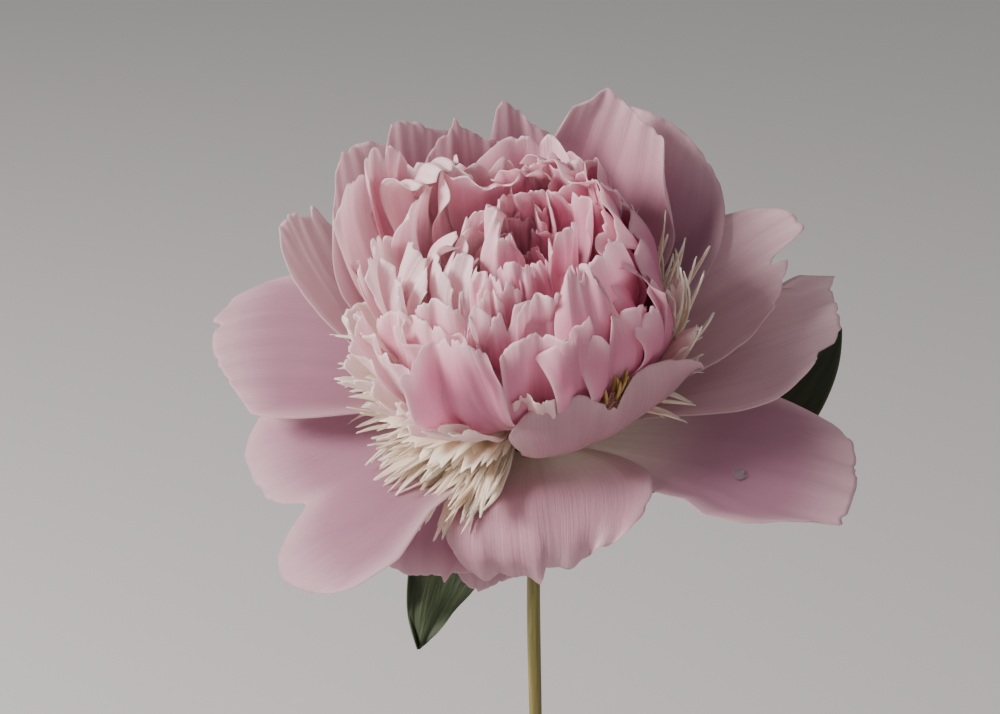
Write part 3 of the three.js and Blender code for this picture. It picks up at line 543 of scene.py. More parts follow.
SEAT_RADIUS = 8.4
SEAT_BOTTOM = -5
SEAT_TOP = 14.3
SEAT_NECK = 5.5
SEAT_DOME = 0.3
seat_curve = smooth_curve(
    [
        (STEM_RADIUS * 1.1, SEAT_BOTTOM - SEAT_NECK),
        (SEAT_RADIUS * 0.72, SEAT_BOTTOM - SEAT_NECK + 3),
        (SEAT_RADIUS, SEAT_BOTTOM + 1),
        (SEAT_RADIUS, SEAT_TOP - 2),
        (SEAT_RADIUS * 0.7, SEAT_TOP),
        (0.2, SEAT_TOP + SEAT_DOME),
    ],
    30,
)
seat_profile = [(0, SEAT_BOTTOM - SEAT_NECK), *map(tuple, seat_curve), (0, SEAT_TOP + SEAT_DOME)]
seat = turned("seat", seat_profile, 40, from_bloom)
seat.data.materials.append(stem_skin.material)
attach(seat, "root")
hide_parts("stem")

MARKS = {"Along": 0.0, "Across": 0.0, "Tint": 0.0}  # what every skin tells its finish at each point
VALUE, COLOUR = "NodeSocketFloat", "NodeSocketColor"


def effect(name, colours, values, outcome):
    """A node group that takes colours, and values with their defaults. Returns its inputs and outputs too."""
    group = bpy.data.node_groups.new(name, "ShaderNodeTree")
    for socket in colours:
        group.interface.new_socket(socket, in_out="INPUT", socket_type=COLOUR)
    for socket, value in values.items():
        group.interface.new_socket(socket, in_out="INPUT", socket_type=VALUE).default_value = value
    for socket, kind in outcome.items():
        group.interface.new_socket(socket, in_out="OUTPUT", socket_type=kind)
    return group, group.nodes.new("NodeGroupInput").outputs, group.nodes.new("NodeGroupOutput").inputs


def reckoned(tree, operation, *values):
    """What comes of an operation on one, two or three values."""
    return add_node(tree, "ShaderNodeMath", *values, operation=operation).outputs[0]


def vein_group():
    """Veins of a petal or leaf: Lines is 1 along fine lines that run from its base and fan out with its
    width, and Cloud is broad and soft."""
    values = {"Count": 30.0, "Crossing": 1.5, **MARKS}
    group, given, result = effect("fanned_veins", (), values, {"Lines": VALUE, "Cloud": VALUE})
    place = add_node(
        group,
        "ShaderNodeCombineXYZ",
        reckoned(group, "MULTIPLY", given["Across"], given["Count"]),
        reckoned(group, "MULTIPLY", given["Along"], given["Crossing"]),
        reckoned(group, "MULTIPLY", given["Tint"], 37.0),
    ).outputs["Vector"]
    lines = noise(group, place, 1.0, 3.0, Roughness=0.55, Distortion=0.15)
    sharp = graded(group, lines, 0.36, 0.68, interpolation_type="SMOOTHSTEP")
    broad = add_node(group, "ShaderNodeVectorMath", place, (0.09, 1.0, 1.0), operation="MULTIPLY")
    cloud = noise(group, broad.outputs["Vector"], 1.0, 4.0, Roughness=0.6)
    group.links.new(sharp, result["Lines"])
    group.links.new(cloud, result["Cloud"])
    return group


VEINS = vein_group()


def mark_of(finish, mark):
    return finish.add("ShaderNodeAttribute", attribute_name=mark.lower()).outputs["Fac"]


def marked(finish, group, **values):
    """Places a group in a finish, fed with the marks that every skin carries."""
    marks = {mark: mark_of(finish, mark) for mark in MARKS}
    return finish.add("ShaderNodeGroup", node_tree=group, **marks, **values)


def leaf_finish(name, dark, light, rim, roughness):
    """A leathery leaf: lighter along its veins, with a paler midrib and rim."""
    leaf = Finish(name)
    leaf.shader.inputs["Roughness"].default_value = roughness
    leaf.shader.inputs["Specular IOR Level"].default_value = 0.3
    veins = marked(leaf, VEINS, Count=9.0, Crossing=5.0).outputs["Lines"]
    apart = reckoned(leaf.tree, "ABSOLUTE", mark_of(leaf, "Across"))
    rim_mask = graded(leaf.tree, apart, 0.93, 1.0)
    midrib_mask = graded(leaf.tree, apart, 0.05, 0.0, 0.0, 0.8)
    pale = reckoned(leaf.tree, "MAXIMUM", rim_mask, midrib_mask)
    leaf.drive("Base Color", blended(leaf.tree, pale, blended(leaf.tree, veins, dark, light), rim))
    leaf.emboss(veins, 0.25, 0.6 * MM)
    return leaf


sepal_skin = leaf_finish("sepal_skin", (0.05, 0.045, 0.02), (0.11, 0.09, 0.045), (0.20, 0.09, 0.07), 0.5)
SEPALS = [
    {"base": (-80, 5, -7), "via": (-80, 19, -14), "tip": (-76, 26, -21), "width": 19, "tip_width": 0.5},
    {"base": (-8, 5, -7), "via": (-10, 15, -17), "tip": (-12, 16, -30), "width": 17, "tip_width": 0.4},
    {"base": (62, 5, -7), "via": (62, 18, -14), "tip": (66, 25, -20), "width": 20, "tip_width": 0.5},
    {"base": (134, 5, -7), "via": (134, 21, -11), "tip": (134, 31, -13), "width": 15, "tip_width": 0.2},
    {"base": (206, 5, -7), "via": (206, 20, -12), "tip": (208, 29, -16), "width": 18, "tip_width": 0.4},
]
sepal_shapes = [
    petal(**sepal, foot=0.5, cup=(30, -25), crumple=(0.25, n), ragged=(0.06, n), tint=0.3 * n)
    for n, sepal in enumerate(SEPALS)
]
sepals = skins("sepals", sepal_shapes, 20, 20, 0.9)
sepals.data.materials.append(sepal_skin.material)
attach(sepals, "root")
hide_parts("stem")

# ---- The leaves ----
# Two leaves of the stem. The left one droops below the bloom, and the right one reaches out behind its
# petals. They are dark, leathery and a little wavy, with a paler midrib and rim, each on a thin stalk.

LEAVES = {
    "left": {
        "at": 0.87,
        "stalk_via": (-8, -5, 207),
        "neck": (-12, -2, 208),
        "tip": (-35, -5, 171),
        "side": (0.86, 0, -0.5),
        "width": 27,
        "full": 0.42,
        "cup": (30, 16),
        "waves": ((2.2, 3.2, 0.1),),
        "left": ((0, 1), (0.4, 0.6), (1, 0.6)),
    },
    "right": {
        "at": 0.85,
        "stalk_via": (14, 2, 207),
        "neck": (26, 8, 216),
        "tip": (87, 34, 257),
        "side": (0, 0.8, 0.6),
        "width": 52,
        "full": 0.6,
        "cup": (34, 18),
        "waves": ((1.8, 2.4, 0.4),),
    },
}
STALK_RADII = (0.95, 0.6)
STALK_SUNK = 0.4  # how deep it starts in the stem
STALK_STEPS, BLADE_START = 24, 19  # the blade runs down the last steps of its stalk
leaf_skin = leaf_finish("leaf_skin", (0.020, 0.030, 0.011), (0.031, 0.042, 0.016), (0.070, 0.078, 0.034), 0.6)


def bent_line(a, b, c, steps):
    t = np.linspace(0, 1, steps + 1)[:, None]
    return (1 - t) ** 2 * a + 2 * t * (1 - t) * b + t**2 * c


for n, (side_name, leaf) in enumerate(LEAVES.items()):
    root = stem_line[round(leaf["at"] * (len(stem_line) - 1))]
    neck, tip = np.array(leaf["neck"], float), np.array(leaf["tip"], float)
    outward = (neck - root) * [1, 1, 0]
    root = root + outward / np.linalg.norm(outward) * (STEM_RADIUS - STALK_SUNK)
    stalk_line = bent_line(root, np.array(leaf["stalk_via"], float), neck, STALK_STEPS)
    start = stalk_line[BLADE_START]
    middle = neck + (neck - start) / np.linalg.norm(neck - start) * np.linalg.norm(tip - neck) * 0.5
    blade = {
        "path": (start, middle, tip),
        "side": np.array(leaf["side"], float),
        "foot": 0.12,
        "tip_width": 0.06,
        "round": 0.0,
        "crumple": (0.5, 3 + n),
        "ragged": (0.02, n),
        "tint": 0.2 + 0.5 * n,
        "left": leaf.get("left", EVEN),
        **{name: leaf[name] for name in ("width", "full", "cup", "waves")},
    }
    blade_piece = skins(f"leaf_{side_name}_blade", [blade], 40, 60, 0.7, as_it_stands)
    blade_piece.data.materials.append(leaf_skin.material)
    stalk_radii = np.linspace(*STALK_RADII, len(stalk_line))
    stalk_piece = smooth_mesh(f"leaf_{side_name}_stalk", *rod(stalk_line, stalk_radii, 12))
    stalk_piece.data.materials.append(stem_skin.material)
    for piece in (blade_piece, stalk_piece):
        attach(piece, "root")
        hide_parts(f"leaf_{side_name}")

# ---- The outer petals ----
# Nineteen broad petals in loose rows round the seat, thin, silky and finely veined. They are cream where they
# leave the seat, dusty pink over most of the blade and almost white along the rim.


def petal_group():
    """The colour of a petal: its foot, flesh and rim, with fine veins and soft clouds of deeper pink. A tint
    of -1 makes the whole petal paler and one of 1 deeper; on the outer petals and the ball the tint mostly
    paints light and shade."""
    values = {"Foot End": 0.45, "Rim Start": 0.84, "Veining": 0.3, "Vein Count": 34.0, **MARKS}
    colours = ("Foot", "Flesh", "Deep", "Rim")
    group, given, result = effect("petal_colour", colours, values, {"Color": COLOUR, "Height": VALUE})
    marks = {mark: given[mark] for mark in MARKS}
    veins = add_node(group, "ShaderNodeGroup", node_tree=VEINS, Count=given["Vein Count"], **marks)
    lines = veins.outputs["Lines"]
    soft = {"interpolation_type": "SMOOTHSTEP"}
    cloud = graded(group, veins.outputs["Cloud"], 0.38, 0.76, 0.0, 0.5)
    colour = blended(group, cloud, given["Flesh"], given["Deep"])
    # the tint paints light and shade: deeper towards the rim colour's opposite where a petal is in shadow,
    # paler where it is lit
    for end, other in ((-1.0, "Rim"), (1.0, "Deep")):
        tint = graded(group, given["Tint"], 0.0, end, 0.0, 0.85)
        colour = blended(group, tint, colour, given[other])
    foot = graded(group, given["Along"], 0.1, given["Foot End"], 1.0, 0.0, **soft)
    colour = blended(group, foot, colour, given["Foot"])
    edge = reckoned(group, "MAXIMUM", reckoned(group, "ABSOLUTE", given["Across"]), given["Along"])
    uneven = reckoned(group, "MULTIPLY_ADD", lines, 0.05, edge)
    rim = graded(group, uneven, given["Rim Start"], 1.04, 0.0, 0.6, **soft)
    colour = blended(group, rim, colour, given["Rim"])
    colour = blended(group, reckoned(group, "MULTIPLY", lines, given["Veining"]), colour, given["Deep"])
    group.links.new(colour, result["Color"])
    group.links.new(lines, result["Height"])
    return group


PETAL_COLOUR = petal_group()


def petal_finish(name, foot, flesh, deep, rim, through, **values):
    """A thin silky petal that lets light through. Light crosses both its skins, so each colours it half."""
    skin = Finish(name)
    skin.shader.inputs["Roughness"].default_value = 0.52
    skin.shader.inputs["Specular IOR Level"].default_value = 0.3
    skin.shader.inputs["Sheen Weight"].default_value = 0.12
    skin.shader.inputs["Sheen Roughness"].default_value = 0.4
    colours = {"Foot": (*foot, 1), "Flesh": (*flesh, 1), "Deep": (*deep, 1), "Rim": (*rim, 1)}
    petal_colour = marked(skin, PETAL_COLOUR, **colours, **values)
    colour = petal_colour.outputs["Color"]
    skin.drive("Base Color", colour)
    skin.emboss(petal_colour.outputs["Height"], 0.3, 0.4 * MM)
    half_tone = skin.add("ShaderNodeGamma", Color=colour, Gamma=0.5).outputs["Color"]
    glow = skin.add("ShaderNodeBsdfTranslucent", Color=half_tone)
    both = skin.add("ShaderNodeMixShader", through, skin.shader.outputs[0], glow.outputs[0])
    skin.tree.links.new(both.outputs[0], skin.tree.nodes["Material Output"].inputs["Surface"])
    return skin


outer_skin = petal_finish(
    "outer_petal_skin",
    foot=(0.84, 0.72, 0.62),
    flesh=(0.69, 0.36, 0.45),
    deep=(0.42, 0.21, 0.29),
    rim=(0.84, 0.62, 0.64),
    through=0.55,
    Foot_End=0.56,
    Rim_Start=0.8,
    Veining=0.22,
    Vein_Count=60.0,
)
# Where each petal's midrib starts, bends and ends, and its outline: rim is how far it reaches at places from
# its left, -1, to its right, 1, and left and right say how wide its sides are at places along it. A dent is a
# place across, a half width, a depth (inward is positive) and the place along the petal where it starts.
OUTER_PETALS = [
    # front and right, below the ball
    dict(base=(34, 8, 5), via=(36, 42, 13), tip=(42, 38, 43), width=70, cup=(40, 34), roll=(0, -14),
         full=0.66, tip_width=0.86,
         rim=((-1, 0.72), (-0.9, 0.84), (-0.8, 0.9), (-0.6, 0.945), (-0.4, 0.955), (-0.3, 0.935),
              (-0.2, 0.89), (-0.13, 0.86), (-0.09, 0.79), (-0.05, 0.83), (0.0, 0.8), (0.05, 0.9),
              (0.15, 0.97), (0.3, 1.01), (0.45, 1.01), (0.7, 0.97), (0.85, 0.92), (1, 0.8)),
         left=((0.3, 0.7), (0.6, 0.72), (0.8, 0.86), (1, 0.97)), right=((0.6, 1), (0.8, 1.06), (1, 1.04)),
         dents=((0.95, 0.25, -4.0, 0.76), (-0.9, 0.3, -1.5, 0.8))),
    dict(base=(3, 8, -0.5), via=(3, 52, 16), tip=(2, 50, -9), width=60, cup=(20, -20), full=0.75,
         tip_width=0.8,
         rim=((-1, 0.82), (-0.9, 0.94), (-0.7, 0.99), (-0.4, 1.02), (-0.06, 1.035), (0.0, 0.9),
              (0.1, 0.915), (0.3, 0.93), (0.48, 0.895), (0.58, 0.81), (0.7, 0.815), (0.85, 0.77),
              (1, 0.71)),
         left=((0.2, 1.3), (0.5, 0.94), (0.7, 0.86), (0.9, 0.88), (1, 0.97)),
         right=((0.2, 1.5), (0.4, 1.3), (0.6, 1.07), (0.8, 0.94), (1, 1)), dents=((-0.5, 0.5, -3.0, 0.8),),
         frill=((1.0, 1.3, 0.2), (0.8, 3.1, 0.4))),
    dict(base=(74, 8, -3), via=(66, 50, 8), tip=(70, 92, -2), width=54, cup=(20, 0), foot=0.3, full=0.55,
         tip_width=0.86,
         rim=((-1, 0.75), (-0.9, 0.8), (-0.78, 0.88), (-0.68, 0.9), (-0.6, 0.985), (-0.4, 0.995),
              (0, 1.005), (0.4, 0.99), (0.7, 0.955), (0.9, 0.92), (1, 0.88)),
         left=((0.4, 0.7), (0.6, 0.75), (0.7, 0.95), (0.9, 1.02), (1, 1)),
         dents=((0.36, 0.07, -1.8, 0.6), (0.6, 0.16, 2.2, 0.58), (-0.95, 0.3, 3.6, 0.3)), crumple=(1.3, 3)),
    dict(base=(98, 8, -0.5), via=(98, 50, 20), tip=(103, 93, 15), width=54, cup=(30, 16), full=0.74,
         tip_width=0.78,
         rim=((-1, 0.79), (-0.7, 0.83), (-0.6, 0.84), (-0.5, 0.905), (-0.3, 0.95), (0, 0.975), (0.4, 1.0),
              (0.7, 1.02), (0.86, 1.05), (0.93, 0.99), (1, 0.93)),
         left=((0.4, 1.1), (0.6, 1.15), (0.75, 1.12), (0.9, 1.02), (1, 1)),
         right=((0.5, 1), (0.7, 0.75), (0.88, 0.6), (1, 0.84))),
    dict(base=(114, 8, 2), via=(110, 48, 22), tip=(111, 86, 33), width=56, cup=(30, 16), roll=(0, 12),
         full=0.7, tip_width=0.74,
         rim=((-1, 0.71), (-0.8, 0.785), (-0.6, 0.83), (-0.3, 0.88), (-0.1, 0.92), (-0.02, 0.93),
              (0.03, 0.875), (0.13, 0.89), (0.2, 1.03), (0.26, 1.04), (0.5, 1.035), (0.7, 1.0), (0.9, 0.93),
              (1, 0.86)),
         left=((0.4, 0.8), (0.6, 0.75), (0.8, 0.74), (1, 0.85)),
         right=((0.5, 0.75), (0.75, 0.75), (0.9, 0.9), (1, 0.95))),
    # left
    dict(base=(-62, 8, -0.5), via=(-66, 48, 18), tip=(-67, 76, 3), width=72, cup=(20, 0), full=0.78,
         tip_width=0.94,
         rim=((-1, 0.86), (-0.9, 0.94), (-0.75, 0.99), (-0.5, 1.01), (-0.3, 1.01), (-0.1, 0.95),
              (0.03, 0.87), (0.1, 0.89), (0.3, 1.05), (0.45, 1.085), (0.6, 1.09), (0.8, 1.04), (1, 0.955)),
         left=((0.5, 0.74), (0.8, 0.77), (0.9, 0.94), (1, 1)),
         right=((0.5, 0.87), (0.7, 1.07), (0.9, 1.07), (1, 1))),
    dict(base=(-108, 8, 2), via=(-116, 48, 26), tip=(-104, 90, 17), width=62, cup=(24, 10), full=0.8,
         tip_width=0.9,
         rim=((-1, 0.87), (-0.9, 0.94), (-0.75, 0.99), (-0.6, 1.01), (-0.54, 1.01), (-0.48, 0.975),
              (-0.42, 1.0), (-0.2, 1.01), (0.1, 0.985), (0.5, 0.925), (1, 0.83))),
    dict(base=(-118, 8, 4.5), via=(-110, 52, 20), tip=(-126, 74, 51), width=46, cup=(30, 24), roll=(10, 0),
         full=0.72, tip_width=0.7,
         rim=((-1, 0.74), (-0.7, 0.83), (-0.6, 0.9), (-0.42, 0.98), (-0.34, 1.0), (-0.26, 0.955),
              (-0.1, 0.965), (0.1, 0.99), (0.3, 0.99), (0.7, 0.955), (0.9, 0.89), (1, 0.83)),
         right=((0.3, 0.9), (0.6, 0.6), (0.8, 0.65), (0.9, 0.74), (1, 0.9))),
    # back, standing behind the ball
    dict(base=(-138, 8, 4.5), via=(-134, 55, 23), tip=(-139, 65, 66), width=46, cup=(30, 36), full=0.76,
         tip_width=0.8,
         rim=((-1, 0.87), (-0.6, 0.965), (-0.3, 1.005), (0.2, 1.0), (0.4, 0.975), (0.6, 0.915), (0.8, 0.86),
              (1, 0.8)),
         right=((0.7, 1), (0.9, 0.9), (1, 0.84))),
    dict(base=(158, 8, 4.5), via=(156, 55, 23), tip=(148, 69, 67), width=42, cup=(30, 24), full=0.78,
         tip_width=0.85,
         rim=((-1, 0.81), (-0.9, 0.885), (-0.7, 0.925), (-0.3, 0.95), (0, 0.97), (0.3, 0.985), (0.5, 1.01),
              (0.62, 0.985), (0.7, 0.955), (0.9, 0.925), (1, 0.82)),
         left=((0.4, 1.1), (0.6, 1.3), (0.75, 1.25), (0.9, 1.05), (1, 1)), dents=((-0.92, 0.2, 6.0, 0.6),)),
    dict(base=(142, 8, 2), via=(144, 62, 32), tip=(146, 80, 57), width=56, cup=(30, -30), full=0.7,
         tip_width=0.75, rim=((-1, 0.83), (-0.8, 0.88), (-0.4, 0.945), (0, 0.985), (0.5, 0.99), (1, 0.88))),
    dict(base=(176, 8, 6), via=(174, 54, 24), tip=(175, 55, 69), width=46, cup=(30, 24), full=0.66,
         tip_width=0.7,
         rim=((-1, 0.84), (-0.6, 0.91), (-0.3, 0.95), (0, 1.0), (0.3, 1.035), (0.45, 1.055), (0.6, 1.03),
              (1, 0.86)),
         left=((0.6, 1), (0.9, 0.85), (1, 0.8)), right=((0.6, 1), (0.85, 0.68), (1, 0.68))),
    dict(base=(-166, 8, 7.5), via=(-166, 50, 26), tip=(-168, 52, 75), width=34, cup=(30, 40), full=0.7,
         tip_width=0.8,
         rim=((-1, 0.84), (-0.5, 0.875), (-0.1, 0.915), (0.1, 0.94), (0.2, 0.985), (0.28, 0.94),
              (0.6, 0.925), (1, 0.86))),
    dict(base=(-152, 8, 6), via=(-154, 54, 25), tip=(-158, 60, 70), width=34, cup=(30, 36), full=0.74,
         tip_width=0.92,
         rim=((-1, 0.88), (-0.4, 0.935), (0, 0.965), (0.1, 0.995), (0.5, 1.01), (0.68, 1.015),
              (0.78, 0.965), (0.9, 0.94), (1, 0.87))),
    # lowest, hanging in front of the stem and spread behind it
    dict(base=(-38, 8, -3), via=(-36, 40, 2), tip=(-34, 52, -15), width=42, cup=(20, 10), full=0.7,
         tip_width=0.7,
         rim=((-1, 0.96), (-0.5, 0.975), (-0.1, 0.935), (0.1, 0.92), (0.24, 0.95), (0.36, 0.88),
              (0.7, 0.86), (1, 0.78))),
    dict(base=(-14, 8, -3), via=(-16, 36, 0), tip=(-19, 45, -18), width=30, cup=(20, 10), full=0.6,
         tip_width=0.5, rim=((-1, 0.95), (-0.7, 1.0), (-0.35, 1.04), (0, 0.99), (0.4, 0.93), (1, 0.86))),
    dict(base=(180, 8, -0.5), via=(180, 44, 14), tip=(180, 76, 24), width=56, cup=(30, 10), full=0.7,
         tip_width=0.8),
    dict(base=(-148, 8, -3), via=(-148, 44, 8), tip=(-148, 78, 18), width=56, cup=(30, 10), full=0.7,
         tip_width=0.8),
    dict(base=(146, 8, -3), via=(146, 44, 8), tip=(146, 78, 18), width=56, cup=(30, 10), full=0.7,
         tip_width=0.8),
]
# From -1, paler, to 1, deeper, for the petals that differ most. These tints are painted shade on the petals
# that lie in shadow, which are made deeper, and painted light on those that catch the light or glow with it
# from behind, which are made paler.
OUTER_LIGHT_AND_SHADE_TINTS = {
    1: -0.4, 2: -0.2, 3: 1, 4: -0.8, 5: -0.7, 6: 0.9, 7: 0.9, 8: -1, 9: -0.4, 10: 0.2, 11: 1, 15: 0.7, 16: 0.6
}
OUTER_COLUMNS, OUTER_ROWS = 56, 64
OUTER_THICKNESS = 0.5
outer_forms = {}
for n, shape in enumerate(OUTER_PETALS, 1):
    details = {
        "crumple": (0.8, n),
        "ragged": (0.012, n),
        "frill": ((0.8, 0.9, quirk(n, 31)), (0.3, 3.4, quirk(n, 32))),
        # the listed tints are painted light and shade; the other petals differ a little at random
        "tint": OUTER_LIGHT_AND_SHADE_TINTS.get(n, 0.2 * quirk(n, 30)),
    }
    outer_forms[n] = petal(**{**details, **shape})
    outer_petal = skins(f"outer_petal_{n:02d}", [outer_forms[n]], OUTER_COLUMNS, OUTER_ROWS, OUTER_THICKNESS)
    outer_petal.data.materials.append(outer_skin.material)
    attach(outer_petal, "root")
    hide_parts(f"guard_petal_{n:02d}")

# ---- The dew drop ----
# One bead of clear water rests on the lowest petal on the right. It is slightly flattened and sinks a little
# into the petal's skin.

DROP_PETAL, DROP_COLUMN, DROP_ROW = 3, 22, 41  # the point of that petal's grid that it rests on
DROP_RADIUS, DROP_HALF_HEIGHT, DROP_SUNK = 1.7, 1.15, 0.5
drop_rise = OUTER_THICKNESS / 2 + DROP_HALF_HEIGHT - DROP_SUNK
drop_sheet = from_bloom(sheet_points(outer_forms[DROP_PETAL], OUTER_COLUMNS, OUTER_ROWS))
drop_spot = drop_sheet[DROP_ROW, DROP_COLUMN]
beside = drop_sheet[DROP_ROW, DROP_COLUMN + 1] - drop_spot
drop_up = np.cross(drop_sheet[DROP_ROW + 1, DROP_COLUMN] - drop_spot, beside)
drop_axes = np.array([beside, np.cross(drop_up, beside), drop_up])
drop_axes /= np.linalg.norm(drop_axes, axis=1)[:, None]


def on_petal(points):
    """Places in the drop, whose axis stands on the petal, as places in the room."""
    return drop_spot + (points + [0, 0, drop_rise]) @ drop_axes


drop_turns = np.linspace(-math.pi / 2, math.pi / 2, 17)
drop_profile = [(DROP_RADIUS * math.cos(a), DROP_HALF_HEIGHT * math.sin(a)) for a in drop_turns]
drop = turned("dew_drop", drop_profile, 32, on_petal)
drop.data.materials.append(water_finish.material)
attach(drop, "root")

# ---- The ball of inner petals ----
# The middle of the bloom is packed with small ruffled petals that wrap round each other like cabbage leaves,
# open at the top. Their torn rims are pale, and the pink deepens down between them.

INNER_FORM = {"round": 0.1, "foot": 0.3, "full": 0.8, "tip_width": 0.98, "cup": (40, 26), "from": 0.1}
INNER_SEED = 700
FRONT_DRAWN_IN = 0.16  # share by which the ball is slimmer at the front
FINGERS = ((-0.62, 0.16, 0.16), (-0.2, 0.14, 0.24), (0.26, 0.16, 0.14), (0.66, 0.14, 0.2))  # slits into a tip
# Where the petals of each layer leave the heart and where they bulge, each a radius and a height, and how far
# their lips lean in, in degrees.
BALL_LAYERS = {
    "apron": {"base": (11, 17), "via": (46, 25), "lean": -24},
    "wrap": {"base": (12, 19), "via": (50, 30), "lean": -16},
    "shoulder": {"base": (12, 23), "via": (43, 43), "lean": -8},
    "rim": {"base": (11, 27), "via": (31, 50), "lean": 4},
    "bowl": {"base": (8, 30), "via": (18, 50), "lean": 6},
}
